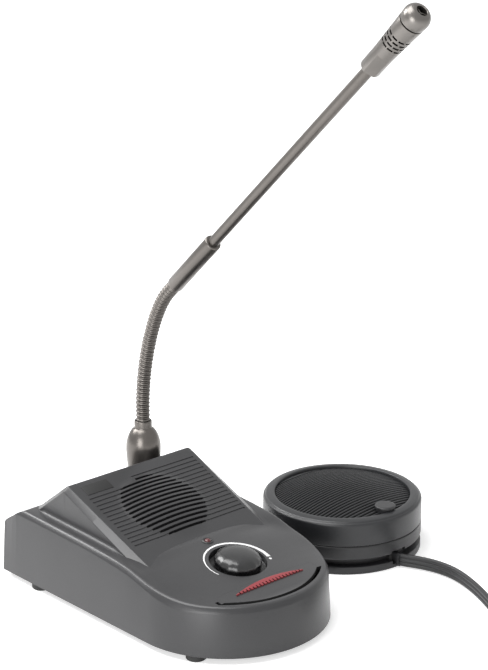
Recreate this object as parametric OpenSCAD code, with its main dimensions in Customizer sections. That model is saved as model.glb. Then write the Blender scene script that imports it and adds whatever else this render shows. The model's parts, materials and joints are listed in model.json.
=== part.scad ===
// Teller window intercom: desk unit with gooseneck microphone, and an
// outer unit on a flat lead. Millimetres. Z is up, the user sits towards -Y.
// The model is written about the centre of the desk unit's round front, and
// every node is moved by -frame_x, -frame_y, so that the origin is the
// bottom centre of the two units together.

/* [Desk unit] */
// Width of the desk unit, which is also the diameter of its round front
desk_w = 122; // [110:140]
// Distance from the centre of the round front to the rear wall
desk_y = 139; // [120:160]
// Lower edge of the housing above the desk
skirt_z = 3.6; // [3:6]
// Housing wall
wall = 2.4; // [2:3]
// Height of the speaker wedge's ridge
ridge_z = 69.8; // [60:80]
// Distance of the ridge behind the centre of the round front
ridge_y = 88.4; // [80:100]
// Rise of the speaker plate per millimetre
plate_k = 0.4; // [0.3:0.5]
// Half width of the speaker wedge
wedge_x = 50.5; // [44:52]
// Height of the control deck on the centre line
deck_z = 41.5; // [38:44]
// Rise of the control deck per millimetre
deck_k = 0.139; // [0.1:0.18]

/* [Controls] */
// Knob diameter
knob_d = 28; // [24:32]
// Knob centre on the deck
knob_y = -10; // [-12:-6]
// Radius of the curved slot in front of the talk bar
bar_r = 57.5; // [56:59]
// Line that the talk bar swings about
bar_y = -32; // [-36:-30]

/* [Gooseneck and boom] */
// Side offset of the gooseneck
neck_x = 28; // [20:34]
// Centre of the gooseneck's foot behind the round front's centre
neck_y = 108.5; // [104:112]
// Height of the foot's collar
neck_z = 86.9; // [80:92]
// Gooseneck diameter
neck_d = 8.8; // [8:10]
// Lean of the boom from the vertical
lean = 45.8; // [40:50]
// Visible boom tube
tube_l = 173; // [150:190]
// Boom tube diameter
tube_d = 6.8; // [6:8]

/* [Outer unit] */
// Centre of the outer unit
puck_x = 127; // [120:150]
// Centre of the outer unit
puck_y = 32.5; // [20:40]
// Outer unit diameter
puck_d = 100; // [90:110]
// Pitch of the grille ribs
rib_pitch = 2.4; // [2:3]

/* [Hidden] */
// One node to build, or all of them
frame_x = 58;
frame_y = 8.8;
desk_r = desk_w / 2;
deck_a = atan(deck_k);
plate_a = atan(plate_k);
e = 0.01;

// ---------- heights along the desk unit ----------
function edge_z(y) = lookup(y, [[-62, 34.1], [-35, 34.2], [-26, 34.5], [-18, 35.2], [-12, 36],
    [-4, 37.3], [5, 38.8], [14, 41], [22, 42.8], [35, 44.2], [59, 45.6], [95, 46.7], [119, 47.3],
    [121, 46.9], [124, 45.2], [130, 41.4], [136, 37.6], [138, 35.8], [139, 34]]);
function band_z(y) = lookup(y, [[-62, 30.9], [-37, 30.7], [-23, 30.2], [-10, 32.3], [1, 35],
    [21, 39.6], [60, 42.8], [119, 43.9], [124, 43.9], [130, 40.2], [136, 36.4], [138, 34.6], [139, 33]]);
function deck_at(y) = deck_z + deck_k * y;
function mid_z(y) = y < -56 ? edge_z(y) + 0.1 : y > 27 ? edge_z(y) + 0.2
    : y < -50 ? edge_z(y) + 0.1 + (deck_at(y) - edge_z(y) - 0.1) * (y + 56) / 6
    : y > 21 ? deck_at(y) + (edge_z(y) + 0.2 - deck_at(y)) * (y - 21) / 6
    : deck_at(y);
function plate_z(y) = ridge_z - plate_k * (ridge_y - y);

// ---------- lofted desk shell ----------
// the bright bevel narrows where the rear of the housing slopes down
function fade(y) = lookup(y, [[119, 1], [125, 0.35]]);
// right half of the outline, from the front tip to the middle of the rear wall,
// t inside the skirt and b inside the bevel's lower line
function half_line(t, b = 0) = let (q = t + b * 0.35) concat(
    [for (a = [-90:9:0]) [(desk_r - t - b) * cos(a), (desk_r - t - b) * sin(a)]],
    [for (y = [8, 15, 22, 32, 59, 90, 119, 124, 129, 133]) let (d = t + b * fade(y))
        [desk_r - d, y < 100 ? y : 100 + (y - 100) * (desk_y - 100 - d * 0.6) / 37]],
    [[desk_r - q - 0.7, desk_y - 1.6 - q * 0.6], [desk_r - q - 3, desk_y - q * 0.6]]);
// shallow dip of the deck in front of the wedge's two tips
function dip(y, w) = 3 * exp(-pow((y - 17) / 8, 2)) * w * (1 - w * w * w);

module desk_shell(t, drop, z0) {
    h0 = half_line(t);
    h1 = half_line(t + 1.5);
    h2 = half_line(t + 1.5, 1.4);
    h3 = half_line(t + 1.5, 3.5);
    n = len(h0) - 1;
    k = 2 * n + 1;
    m = 10;
    rings = [for (r = [0:3])
        let (h = r == 0 ? h0 : r == 1 ? h1 : r == 2 ? h2 : h3)
        [for (i = [0:k - 1])
            let (p = i <= n ? h[i] : [-h[k - i][0], h[k - i][1]])
            [p[0], p[1], r == 0 ? z0 : r == 1 ? band_z(h0[i <= n ? i : k - i][1]) - drop
                : r == 2 ? band_z(h0[i <= n ? i : k - i][1]) * 0.25
                    + edge_z(h0[i <= n ? i : k - i][1]) * 0.75 - drop
                : edge_z(h0[i <= n ? i : k - i][1]) - drop]]];
    top = [for (i = [1:n]) for (j = [1:m - 1])
        let (u = 1 - 2 * j / m, y = h0[i][1], w = u * u)
        [u * h3[i][0], h3[i][1], edge_z(y) * w + mid_z(y) * (1 - w) - dip(y, w) - drop]];
    pts = concat(rings[0], rings[1], rings[2], rings[3], top);
    function id(i, j) = i == 0 ? 3 * k : j == 0 ? 3 * k + i : j == m ? 3 * k + k - i
        : 4 * k + (i - 1) * (m - 1) + j - 1;
    faces = concat(
        [[for (i = [0:k - 1]) i]],
        [for (r = [0:2]) for (i = [0:k - 1])
            [r * k + i, (r + 1) * k + i, (r + 1) * k + (i + 1) % k]],
        [for (r = [0:2]) for (i = [0:k - 1])
            [r * k + i, (r + 1) * k + (i + 1) % k, r * k + (i + 1) % k]],
        [for (j = [0:m - 1]) [id(0, 0), id(1, j + 1), id(1, j)]],
        [for (i = [1:n - 1]) for (j = [0:m - 1]) [id(i, j), id(i + 1, j + 1), id(i + 1, j)]],
        [for (i = [1:n - 1]) for (j = [0:m - 1]) [id(i, j), id(i, j + 1), id(i + 1, j + 1)]],
        [[for (j = [0:m]) id(n, j)]]);
    polyhedron(pts, faces, convexity = 8);
}

// triangular speaker housing with chamfered shoulders, c is the inset
module wedge(c) {
    hull() for (s = [-1, 1]) {
        wedge_edge(s, c, ridge_y, ridge_z, 47.4);
        wedge_edge(s, c, 8, plate_z(8), 45.2);
        wedge_edge(s, c, 120 - c, 45.3, 47.4);
    }
}
module wedge_edge(s, c, y, z, top_x) {
    translate([s * (top_x - c - 0.5), y, z - c * 1.1 - 0.87]) sphere(0.8, $fn = 16);
    translate([s * (wedge_x - c - 0.8), y, z - c * 1.1 - 3.4]) sphere(0.8, $fn = 16);
}

module on_deck(x, y) {
    translate([x, y, deck_at(y)]) rotate([deck_a, 0, 0]) children();
}
// local frame on the speaker plate, v runs down from the ridge
module on_plate(x, v) {
    translate([x, ridge_y + v * cos(plate_a), ridge_z + v * sin(plate_a)])
        rotate([plate_a, 0, 0]) children();
}
module four(x, y0, y1) {
    for (s = [-1, 1]) {
        translate([s * x, y0, 0]) children();
        translate([s * x, y1, 0]) children();
    }
}

spk_x = -1.5;
spk_v = -37;
module slots() {
    for (i = [0:15]) {
        x0 = i < 2 ? -5 : -42;
        on_plate(0, -9 - 3.4 * i) translate([x0, -0.75, -0.9]) cube([44.5 - x0, 1.5, 3]);
    }
}

bar_cy = 4.5;
module crescent(r, y, z0, z1) {
    intersection() {
        translate([0, bar_cy, z0]) cylinder(r = r, h = z1 - z0, $fn = 96);
        translate([-60, -70, z0]) cube([120, 70 + y, z1 - z0]);
    }
}

module housing_top() {
    color("DimGray") difference() {
        union() {
            difference() {
                union() {
                    desk_shell(0, 0, skirt_z);
                    intersection() {
                        wedge(0);
                        translate([-52, 10, 30]) cube([104, 116, 50]);
                    }
                    // bulge of the speaker grille
                    intersection() {
                        on_plate(spk_x, spk_v) translate([0, 0, -148.6]) sphere(151.4, $fn = 120);
                        on_plate(spk_x, spk_v) translate([0, 0, -6]) cylinder(r = 28.6, h = 12, $fn = 96);
                    }
                }
                desk_shell(wall, wall, skirt_z - 2);
                intersection() {
                    wedge(wall);
                    translate([-50, 24, 30]) cube([100, 100, 50]);
                }
                on_plate(spk_x, spk_v) translate([0, 0, -14]) cylinder(r = 27.5, h = 13.4, $fn = 96);
            }
            // cup that the knob sinks into
            on_deck(0, knob_y) translate([0, 0, -6.8]) cylinder(r = 19.2, h = 6.2, $fn = 96);
            // seat of the gooseneck foot
            translate([neck_x, neck_y, 44]) cylinder(r = 12, h = 10, $fn = 64);
            // screw posts
            four(48, -14, -14) translate([0, 0, 5.9]) cylinder(d = 7, h = 30, $fn = 32);
            four(48, 118, 118) translate([0, 0, 5.9]) cylinder(d = 7, h = 40, $fn = 32);
            // speaker posts
            for (a = [45:90:315]) on_plate(spk_x, spk_v) rotate([0, 0, a])
                translate([34, 0, -7]) cylinder(d = 6, h = 6, $fn = 32);
            // lugs of the talk bar
            for (s = [-1, 1]) translate([s * 44 - 2, bar_y - 3, 27]) cube([4, 8, 6.6]);
        }
        // gooseneck foot: flat seat, stud hole and room for the nut
        translate([neck_x, neck_y, 54]) cylinder(r = 12.5, h = 20, $fn = 64);
        translate([neck_x, neck_y, 40]) cylinder(r = 5.1, h = 20, $fn = 48);
        translate([neck_x, neck_y, 40]) cylinder(r = 10.2, h = 10.9, $fn = 48);
        // grille slots, cut right through inside the circle
        slots();
        intersection() {
            for (i = [0:15]) on_plate(0, -9 - 3.4 * i) translate([-34, -0.75, -8])
                cube([66, 1.5, 16]);
            on_plate(spk_x, spk_v) translate([0, 0, -12]) cylinder(r = 26, h = 24, $fn = 96);
        }
        // badge recess
        on_plate(-31, -8.2) translate([-10, -4.1, -0.5]) cube([20, 8.2, 4]);
        // controls
        on_deck(0, knob_y) translate([0, 0, -4.6]) cylinder(r = 17.2, h = 12, $fn = 96);
        on_deck(0, knob_y) translate([0, 0, -9]) cylinder(r = 3.7, h = 12, $fn = 48);
        on_deck(0, 16.5) translate([0, 0, -8]) cylinder(r = 3, h = 12, $fn = 48);
        scale_cut(0.25);
        // opening of the talk bar with its curved slot
        crescent(bar_r + 1, -38.5, 28, 45);
        translate([-36.85, -40, 28]) cube([73.7, 40 + bar_y + 0.25, 17]);
        translate([-40, -39, 28]) cube([2, 4, 17]);
        // room for the talk bar's hinge barrel under the deck
        translate([-34.8, bar_y, 31.4]) rotate([0, 90, 0]) cylinder(r = 2.7, h = 69.6, $fn = 32);
        // hinge pin holes
        translate([-50, bar_y, 31.4]) rotate([0, 90, 0]) cylinder(r = 1.55, h = 100, $fn = 32);
        // screw holes
        four(48, -14, 118) translate([0, 0, 0]) cylinder(r = 1.35, h = 20, $fn = 24);
        for (a = [45:90:315]) on_plate(spk_x, spk_v) rotate([0, 0, a])
            translate([34, 0, -8]) cylinder(r = 1.1, h = 6, $fn = 24);
        // sockets in the rear wall
        translate([-30, desk_y - 8, 16]) rotate([-90, 0, 0]) cylinder(r = 5.6, h = 20, $fn = 48);
        translate([-6, desk_y - 8, 16]) rotate([-90, 0, 0]) cylinder(r = 4.6, h = 20, $fn = 48);
    }
}

module scale_cut(g) {
    on_deck(0, knob_y) {
        for (a = [-16:6:188]) rotate([0, 0, a]) translate([0, 0, -1.1])
            rotate_extrude(angle = 6.05, $fn = 96)
                translate([19.75 - 0.9 * (194 - a) / 210, 0]) square([0.3 + 1.8 * (194 - a) / 210, 3]);
        rotate([0, 0, -23]) translate([20, 0, -1.1]) cylinder(r = 0.9, h = 3, $fn = 32);
    }
}
module scale_marks() {
    color("White") intersection() {
        scale_cut(0);
        desk_shell(0, -0.02, skirt_z);
    }
}

module base_plate() {
    color("Black") difference() {
        union() {
            translate([0, 0, skirt_z]) cylinder(r = desk_r - 3, h = 2.2, $fn = 120);
            translate([-desk_r + 3, 0, skirt_z]) cube([desk_w - 6, desk_y - 4.4, 2.2]);
        }
        four(48, -14, 118) translate([0, 0, 0]) cylinder(r = 1.6, h = 10, $fn = 24);
        four(48, -14, 118) translate([0, 0, 0]) cylinder(r = 3.2, h = 4.4, $fn = 24);
        foot_places() cylinder(r = 2.05, h = 10, $fn = 32);
        // vents
        for (x = [-12:6:12]) translate([x - 1, 20, 0]) cube([2, 30, 10]);
    }
}
module foot_places() {
    for (s = [-1, 1]) {
        translate([s * 47.3, -27, 0]) children();
        translate([s * 54.5, 107, 0]) children();
    }
}
module feet() {
    color("Black") foot_places() rotate_extrude($fn = 64)
        polygon([[0, 0], [5.5, 0], [6, 0.5], [6, 3.6], [2, 3.6], [2, 7], [0, 7]]);
}
module base_screws() {
    color("Silver") four(48, -14, 118) rotate_extrude($fn = 32)
        polygon([[0, 3.8], [2.9, 3.65], [2.9, 4.4], [1.35, 4.4], [1.35, 14], [0, 14]]);
}
module badge_inlay() {
    color("Black") on_plate(-31, -8.2) translate([-9.9, -4, -0.5]) cube([19.8, 8, 0.8]);
}
module dc_jack() {
    color("Black") translate([-30, desk_y, 16]) rotate([-90, 0, 0]) difference() {
        union() {
            translate([0, 0, -14]) cylinder(r = 5.4, h = 12.6, $fn = 48);
            translate([0, 0, -0.18]) cylinder(r = 6.6, h = 0.68, $fn = 48);
            translate([0, 0, -3]) cylinder(r = 5.5, h = 3, $fn = 48);
        }
        difference() {
            translate([0, 0, -9]) cylinder(r = 2.75, h = 12, $fn = 48);
            translate([0, 0, -10]) cylinder(r = 1, h = 9.5, $fn = 24);
        }
    }
}
module outer_unit_socket() {
    color("Black") translate([-6, desk_y, 16]) rotate([-90, 0, 0]) difference() {
        union() {
            translate([0, 0, -14]) cylinder(r = 4.4, h = 12.6, $fn = 48);
            translate([0, 0, -0.18]) cylinder(r = 5.6, h = 0.68, $fn = 48);
            translate([0, 0, -3]) cylinder(r = 4.5, h = 3, $fn = 48);
        }
        translate([0, 0, -12]) cylinder(r = 1.8, h = 16, $fn = 48);
    }
}
module main_board() {
    color("DarkGreen") difference() {
        translate([-40, -20, 10]) cube([80, 90, 1.6]);
        translate([-30, 20, 9]) cylinder(r = 1.6, h = 4, $fn = 24);
        translate([30, 20, 9]) cylinder(r = 1.6, h = 4, $fn = 24);
    }
}
// the knob sits low in its cup
module at_knob() {
    on_deck(0, knob_y) translate([0, 0, -3.2]) children();
}
// rotary control under the deck
module pot_body() {
    color("Silver") at_knob() difference() {
        union() {
            translate([-8, -8, -14]) cube([16, 16, 9]);
            translate([0, 0, -5.1]) cylinder(r = 3.5, h = 4.9, $fn = 48);
        }
        translate([0, 0, -12]) cylinder(r = 2.05, h = 14, $fn = 48);
    }
}
module pot_shaft() {
    color("Gray") at_knob() difference() {
        translate([0, 0, -11.8]) cylinder(r = 2, h = 17.6, $fn = 48);
        translate([1.5, -3, 0.6]) cube([3, 6, 8]);
    }
}
module knob() {
    color("Black") at_knob() difference() {
        rotate_extrude($fn = 96) polygon([[0, 0.2], [knob_d / 2, 0.2], [knob_d / 2, 3.2], [13.7, 4.6],
            [12.9, 5.9], [11.6, 7], [9.6, 7.9], [6.5, 8.6], [3, 8.9], [0, 9]]);
        for (a = [0:24:336]) rotate([0, 0, a]) translate([16.6, 0, -1]) cylinder(r = 3, h = 12, $fn = 32);
        difference() {
            translate([0, 0, -1]) cylinder(r = 2, h = 6.9, $fn = 48);
            translate([1.5, -3, 0.6]) cube([3, 6, 8]);
        }
    }
}
module led() {
    color("Red") on_deck(0, 16.5) {
        translate([0, 0, -6]) cylinder(r = 2, h = 6.2, $fn = 48);
        intersection() {
            translate([0, 0, 0.2 - 1.2]) sphere(2.33, $fn = 48);
            translate([0, 0, 0.2]) cylinder(r = 2, h = 3, $fn = 48);
        }
    }
}
module led_bezel() {
    color("Black") on_deck(0, 16.5) rotate_extrude($fn = 48)
        polygon([[2, -4], [3, -4], [3, 0], [3.5, 0.05], [3.2, 0.6], [2.3, 0.4], [2, 0]]);
}

// ---------- talk bar ----------
module talk_bar() {
    color("DimGray") difference() {
        union() {
            intersection() {
                desk_shell(0, 0, skirt_z);
                union() {
                    crescent(bar_r - 1, -38.4, 31.2, 45);
                    translate([-36.6, -40, 31.2]) cube([73.2, 40 + bar_y, 13.8]);
                }
            }
            // hinge barrel and the nose that presses the switch
            translate([-34.5, bar_y, 31.4]) rotate([0, 90, 0]) cylinder(r = 2.4, h = 69, $fn = 32);
            translate([-3, -50.4, 28.2]) cube([6, 4, 4]);
        }
        translate([-45, bar_y, 31.4]) rotate([0, 90, 0]) cylinder(r = 1.6, h = 90, $fn = 32);
        on_deck(0, strip_y) translate([0, 0, -1.7]) lens(0.1, 5);
        translate([-45, bar_y, 33.9]) cube([90, 6, 6]);
        difference() {
            translate([-50, -60, 28]) cube([100, 26, 4.2]);
            translate([-3.1, -50.5, 20]) cube([6.2, 4.2, 20]);
        }
    }
}
// chord of the lens-shaped red strip
strip_y = -37.2;
// lens between a flat front arc and a fuller rear arc, g is the clearance round it
module lens(g, h) {
    intersection() {
        translate([0, -90.6, 0]) cylinder(r = 94.3 + g, h = h, $fn = 360);
        translate([0, 438, 0]) cylinder(r = 439 + g, h = h, $fn = 720);
        translate([-25.8 - g, -10, 0]) cube([51.6 + 2 * g, 20, h]);
    }
}
module talk_grip_strip() {
    color("FireBrick") difference() {
        intersection() {
            on_deck(0, strip_y) translate([0, 0, -1.7]) lens(0, 5);
            desk_shell(0, -0.8, skirt_z);
        }
        for (x = [-23.04:2.56:23.1]) on_deck(x, strip_y) translate([-0.35, -2, -0.3]) cube([0.7, 2.6, 3]);
    }
}
module talk_hinge_pins() {
    color("Silver") translate([-46, bar_y, 31.4]) rotate([0, 90, 0]) cylinder(r = 1.45, h = 92, $fn = 32);
}
module talk_switch() {
    color("Black") difference() {
        union() {
            translate([-3, -51.4, 21.4]) cube([6, 6, 4]);
            translate([-5, -53, 19.9]) cube([10, 16, 1.6]);
            translate([-3.5, -41, 5.8]) cube([7, 3, 15]);
        }
        translate([0, -48.4, 22.4]) cylinder(r = 1.8, h = 4, $fn = 32);
    }
}
module talk_switch_cap() {
    color("White") translate([0, -48.4, 24]) cylinder(r = 1.75, h = 3, $fn = 32);
}

// ---------- speaker of the desk unit ----------
module speaker_frame() {
    color("Gray") on_plate(spk_x, spk_v) difference() {
        union() {
            rotate_extrude($fn = 96) polygon([[10, -20], [15, -20], [27, -9.4], [28.5, -9], [28.5, -7],
                [26, -7], [26, -7.6], [14, -18.4], [10, -18.4]]);
            for (a = [45:90:315]) rotate([0, 0, a]) translate([27.2, -4, -8.9]) cube([10.8, 8, 1.8]);
        }
        for (a = [45:90:315]) rotate([0, 0, a]) translate([34, 0, -10]) cylinder(r = 1.4, h = 4, $fn = 24);
    }
}
module speaker_cone() {
    color("Black") on_plate(spk_x, spk_v) rotate_extrude($fn = 96)
        polygon([[0, -13], [7, -14.6], [7, -15.6], [8, -15.6], [22, -8.2], [24, -7], [25.9, -7.2],
            [25.9, -6.8], [23.6, -6.2], [21.6, -7.5], [8, -14], [7, -13.6], [0, -12]]);
}
module speaker_magnet() {
    color("Silver") on_plate(spk_x, spk_v) difference() {
        union() {
            translate([0, 0, -29]) cylinder(r = 16, h = 9, $fn = 64);
        }
        translate([0, 0, -22]) cylinder(r = 7.5, h = 3, $fn = 48);
    }
}
module speaker_screws() {
    color("Silver") for (a = [45:90:315]) on_plate(spk_x, spk_v) rotate([0, 0, a]) translate([34, 0, 0]) {
        translate([0, 0, -10.6]) cylinder(r = 2.4, h = 1.6, $fn = 32);
        translate([0, 0, -9]) cylinder(r = 1.1, h = 6, $fn = 24);
    }
}

// ---------- gooseneck ----------
module neck_bell() {
    color("Gray") translate([neck_x, neck_y, 0]) difference() {
        rotate_extrude($fn = 96) polygon([[0, 45.8], [5, 45.8], [5, 54], [9.9, 54], [10.3, 59.5],
            [10.65, 63.5], [10.85, 67.3], [10.85, 69.8], [10.7, 72], [10.3, 74.2], [9.7, 76.1], [9.1, 77.6],
            [8.3, 79.2], [7.4, 80.5], [6.5, 81.5], [5.6, 82.3], [5.5, 86.6], [5.2, neck_z], [0, neck_z]]);
        translate([0, 0, 40]) cylinder(r = 2.6, h = 60, $fn = 32);
        translate([0, 0, neck_z - 6]) cylinder(r = 3.9, h = 10, $fn = 32);
    }
}
module neck_nut() {
    color("Silver") translate([neck_x, neck_y, 46]) difference() {
        cylinder(r = 9, h = 4.9, $fn = 6);
        translate([0, 0, -1]) cylinder(r = 5, h = 8, $fn = 48);
    }
}
// lean of the neck along its length
neck_s = [[-6, 0], [8.8, 0], [14, 3.2], [26, 7.5], [38.2, 11.8], [50.6, 16.2], [63.3, 20.7],
    [76.5, 27], [86, 34.5], [92, 42], [94.6, lean], [112, lean]];
function lean_at(s) = lookup(s, neck_s);
function neck_pts(s, y, z, h, out) = s > 110 ? out
    : neck_pts(s + h, y - h * sin(lean_at(s + h / 2)), z + h * cos(lean_at(s + h / 2)), h,
        concat(out, [[s, y, z]]));
neck_tab = neck_pts(-6, neck_y, neck_z - 6, 0.5, []);
neck_ty = [for (p = neck_tab) [p[0], p[1]]];
neck_tz = [for (p = neck_tab) [p[0], p[2]]];
function neck_at(s) = [neck_x, lookup(s, neck_ty), lookup(s, neck_tz)];
neck_l = 103.2;
// rings of a bent tube: list of [distance, radius]
module bent_tube(list, bore, sides) {
    n = len(list);
    function ring(s, r) = let (c = neck_at(s), a = lean_at(s))
        [for (i = [0:sides - 1]) let (t = 360 * (i + 0.5) / sides)
            c + [r * cos(t), r * sin(t) * cos(a), r * sin(t) * sin(a)]];
    pts = concat([for (p = list) each ring(p[0], p[1])], [for (p = list) each ring(p[0], bore)]);
    o = n * sides;
    faces = concat(
        [for (k = [0:n - 2]) for (i = [0:sides - 1]) let (j = (i + 1) % sides)
            [k * sides + i, (k + 1) * sides + i, (k + 1) * sides + j]],
        [for (k = [0:n - 2]) for (i = [0:sides - 1]) let (j = (i + 1) % sides)
            [k * sides + i, (k + 1) * sides + j, k * sides + j]],
        [for (k = [0:n - 2]) for (i = [0:sides - 1]) let (j = (i + 1) % sides)
            [o + k * sides + i, o + (k + 1) * sides + j, o + (k + 1) * sides + i]],
        [for (k = [0:n - 2]) for (i = [0:sides - 1]) let (j = (i + 1) % sides)
            [o + k * sides + i, o + k * sides + j, o + (k + 1) * sides + j]],
        [for (i = [0:sides - 1]) let (j = (i + 1) % sides) [i, j, o + j]],
        [for (i = [0:sides - 1]) let (j = (i + 1) % sides) [i, o + j, o + i]],
        [for (i = [0:sides - 1]) let (j = (i + 1) % sides, b = (n - 1) * sides) [b + i, o + b + j, b + j]],
        [for (i = [0:sides - 1]) let (j = (i + 1) % sides, b = (n - 1) * sides) [b + i, o + b + i, o + b + j]]);
    polyhedron(pts, faces, convexity = 8);
}
function ribs(s0, s1, n) = [for (i = [0:n - 1]) each
    [[s0 + (s1 - s0) * (i + 0.1) / n, neck_d / 2 - 0.55], [s0 + (s1 - s0) * (i + 0.35) / n, neck_d / 2],
        [s0 + (s1 - s0) * (i + 0.6) / n, neck_d / 2], [s0 + (s1 - s0) * (i + 0.85) / n, neck_d / 2 - 0.55]]];
module gooseneck_lower() {
    color("Gray") bent_tube(concat([[-5.8, 3.85], [-0.1, 3.85]], ribs(0, 50, 18), [[50, 4.1]]), 2.4, 10);
}
module gooseneck_middle() {
    color("Gray") bent_tube(concat([[50.05, 4.1]], ribs(50.2, 54.6, 2), [[54.6, 4.1]]), 2.4, 10);
}
module gooseneck_upper() {
    color("Gray") bent_tube(concat([[54.65, 4.1]], ribs(54.8, neck_l - 0.2, 17),
        [[neck_l, 3.85], [neck_l + 6, 3.85]]), 2.4, 10);
}

// ---------- boom ----------
end_p = neck_at(neck_l);
echo("neck end", end_p);
module on_boom(d) {
    translate(end_p) rotate([lean, 0, 0]) translate([0, 0, d]) children();
}
fer_l = 48;
head_d = fer_l + tube_l;
module ferrule() {
    color("Gray") on_boom(0) difference() {
        rotate_extrude($fn = 64) polygon([[0, 0], [4.8, 0], [5.1, 0.4], [5.1, fer_l - 0.6],
            [4.7, fer_l], [0, fer_l]]);
        translate([0, 0, -1]) cylinder(r = 3.9, h = 7.2, $fn = 48);
        translate([0, 0, -1]) cylinder(r = 2.4, h = fer_l + 4, $fn = 32);
        translate([0, 0, fer_l - 12]) cylinder(r = tube_d / 2, h = 14, $fn = 48);
    }
}
module boom_tube() {
    color("Gray") on_boom(0) difference() {
        translate([0, 0, fer_l - 12]) cylinder(r = tube_d / 2, h = tube_l + 12 + 6, $fn = 48);
        translate([0, 0, fer_l - 13]) cylinder(r = tube_d / 2 - 0.8, h = tube_l + 30, $fn = 48);
    }
}
module head_body() {
    color("Gray") on_boom(head_d) difference() {
        rotate_extrude($fn = 64) polygon([[0, 0], [5.5, 0], [5.9, 0.4], [5.9, 8], [6.2, 8.3], [6.35, 17],
            [6.6, 20], [6.85, 28], [7.1, 33], [7.4, 40.2], [7.4, 41.2], [0, 41.2]]);
        translate([0, 0, -1]) cylinder(r = tube_d / 2, h = 7, $fn = 48);
        translate([0, 0, -1]) cylinder(r = 2.6, h = 40, $fn = 32);
        translate([0, 0, 17]) cylinder(r = 5.2, h = 40, $fn = 48);
        // wrench flats
        for (s = [0, 180]) rotate([0, 0, s]) translate([5.2, -7, -1]) cube([4, 14, 15]);
        // vent slots
        for (k = [0:3]) for (a = [0:45:315]) rotate([0, 0, a + (k % 2) * 22.5])
            translate([4, -1.7, 22 + 2.7 * k]) cube([6, 3.4, 1.1]);
    }
}
module head_cap() {
    color("Gray") on_boom(head_d) difference() {
        rotate_extrude($fn = 64) polygon([[4.4, 38], [5.15, 38], [5.15, 41.9], [7.8, 41.9], [7.9, 43],
            [7.9, 46], [7.4, 48], [6.2, 49.4], [4.8, 50.1], [3, 50.4], [0, 50.4], [0, 46.5], [4.4, 46.5]]);
        // sound hole with a three-spoke guard
        difference() {
            translate([0, 0, 40]) cylinder(r = 3.25, h = 20, $fn = 48);
            for (a = [90, 210, 330]) rotate([0, 0, a]) translate([0, -0.35, 47.6]) cube([5, 0.7, 1.2]);
        }
    }
}
module mic_capsule() {
    color("Silver") on_boom(head_d) {
        translate([0, 0, 39.4]) cylinder(r = 4.35, h = 6.8, $fn = 48);
    }
}

// ---------- outer unit ----------
module at_puck() {
    translate([puck_x, puck_y, 0]) children();
}
dome_r = 179;
dome_top = 38.6;
module puck_dome(o) {
    translate([0, 0, dome_top - dome_r]) sphere(dome_r - o, $fn = 160);
}
// four screws that hold the two halves of the outer unit together
module screw_ring() {
    for (a = [45:90:315]) rotate([0, 0, a]) translate([45.2, 0, 0]) children();
}
module outer_cover() {
    color("DimGray") at_puck() difference() {
        union() {
            rotate_extrude($fn = 120) polygon([[42.6, 34.9], [43, 35.2], [44, 35.3], [47.6, 34.7],
                [48.4, 34.3], [48.8, 33.6], [49.1, 33.5], [49.7, 33], [50, 32.2], [50, 19], [49.6, 18.7],
                [47.4, 18.7], [47.4, 31.4], [44.5, 32], [42.6, 32]]);
            screw_ring() translate([0, 0, 18.7]) cylinder(r = 2.6, h = 14, $fn = 32);
        }
        translate([0, -37.5, 20]) cylinder(r = 7.5, h = 30, $fn = 64);
        screw_ring() translate([0, 0, 17]) cylinder(r = 1.1, h = 13, $fn = 24);
    }
}
module outer_grille() {
    color("DimGray") at_puck() difference() {
        union() {
            intersection() {
                difference() {
                    puck_dome(0);
                    puck_dome(2.4);
                }
                translate([0, 0, 25]) cylinder(r = 42.55, h = 20, $fn = 120);
                union() {
                    for (y = [-40.8:rib_pitch:38.5]) translate([-50, y - 0.65, 20]) cube([100, 1.3, 30]);
                    translate([-50, 38.6, 20]) cube([100, 10, 30]);
                }
            }
            difference() {
                translate([0, 0, 30.4]) cylinder(r = 42.55, h = 1.7, $fn = 120);
                translate([0, 0, 30]) cylinder(r = 39.6, h = 4, $fn = 120);
                translate([-50, 20, 20]) cube([100, 40, 11.9]);
            }
            intersection() {
                difference() {
                    puck_dome(1.2);
                    puck_dome(3);
                }
                translate([0, 0, 25]) cylinder(r = 42.4, h = 20, $fn = 120);
                union() {
                    for (x = [-26, 0, 26]) translate([x - 0.8, -50, 20]) cube([1.6, 100, 30]);
                    difference() {
                        translate([0, 0, 25]) cylinder(r = 42.4, h = 20, $fn = 120);
                        translate([0, 0, 24]) cylinder(r = 40.6, h = 22, $fn = 120);
                    }
                    translate([0, -37.5, 25]) cylinder(r = 8.6, h = 20, $fn = 64);
                }
            }
        }
        translate([0, -37.5, 20]) cylinder(r = 6.8, h = 30, $fn = 64);
        translate([0, -37.5, 20]) cylinder(r = 8.6, h = 11.5, $fn = 64);
    }
}
module outer_rear_cover() {
    color("Black") at_puck() difference() {
        union() {
            rotate_extrude($fn = 120) polygon([[0, 9.5], [49.4, 9.5], [50, 10.1], [50, 17.6], [49.4, 18.2],
                [47.4, 18.2], [47.4, 11.9], [0, 11.9]]);
            screw_ring() translate([0, 0, 10]) cylinder(r = 2.5, h = 8, $fn = 32);
            for (a = [0:120:240]) rotate([0, 0, a + 30]) translate([30, 0, 10]) cylinder(r = 3, h = 12, $fn = 32);
        }
        screw_ring() translate([0, 0, 5]) cylinder(r = 1.5, h = 15, $fn = 24);
        screw_ring() translate([0, 0, 9]) cylinder(r = 2.35, h = 1.6, $fn = 32);
        for (a = [0:120:240]) rotate([0, 0, a + 30]) translate([30, 0, 5]) cylinder(r = 1.2, h = 12, $fn = 24);
        translate([-6, -60, 8]) cube([12, 14.4, 3.6]);
        translate([-4.6, -46, 8]) cube([9.2, 8, 8]);
    }
}
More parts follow.
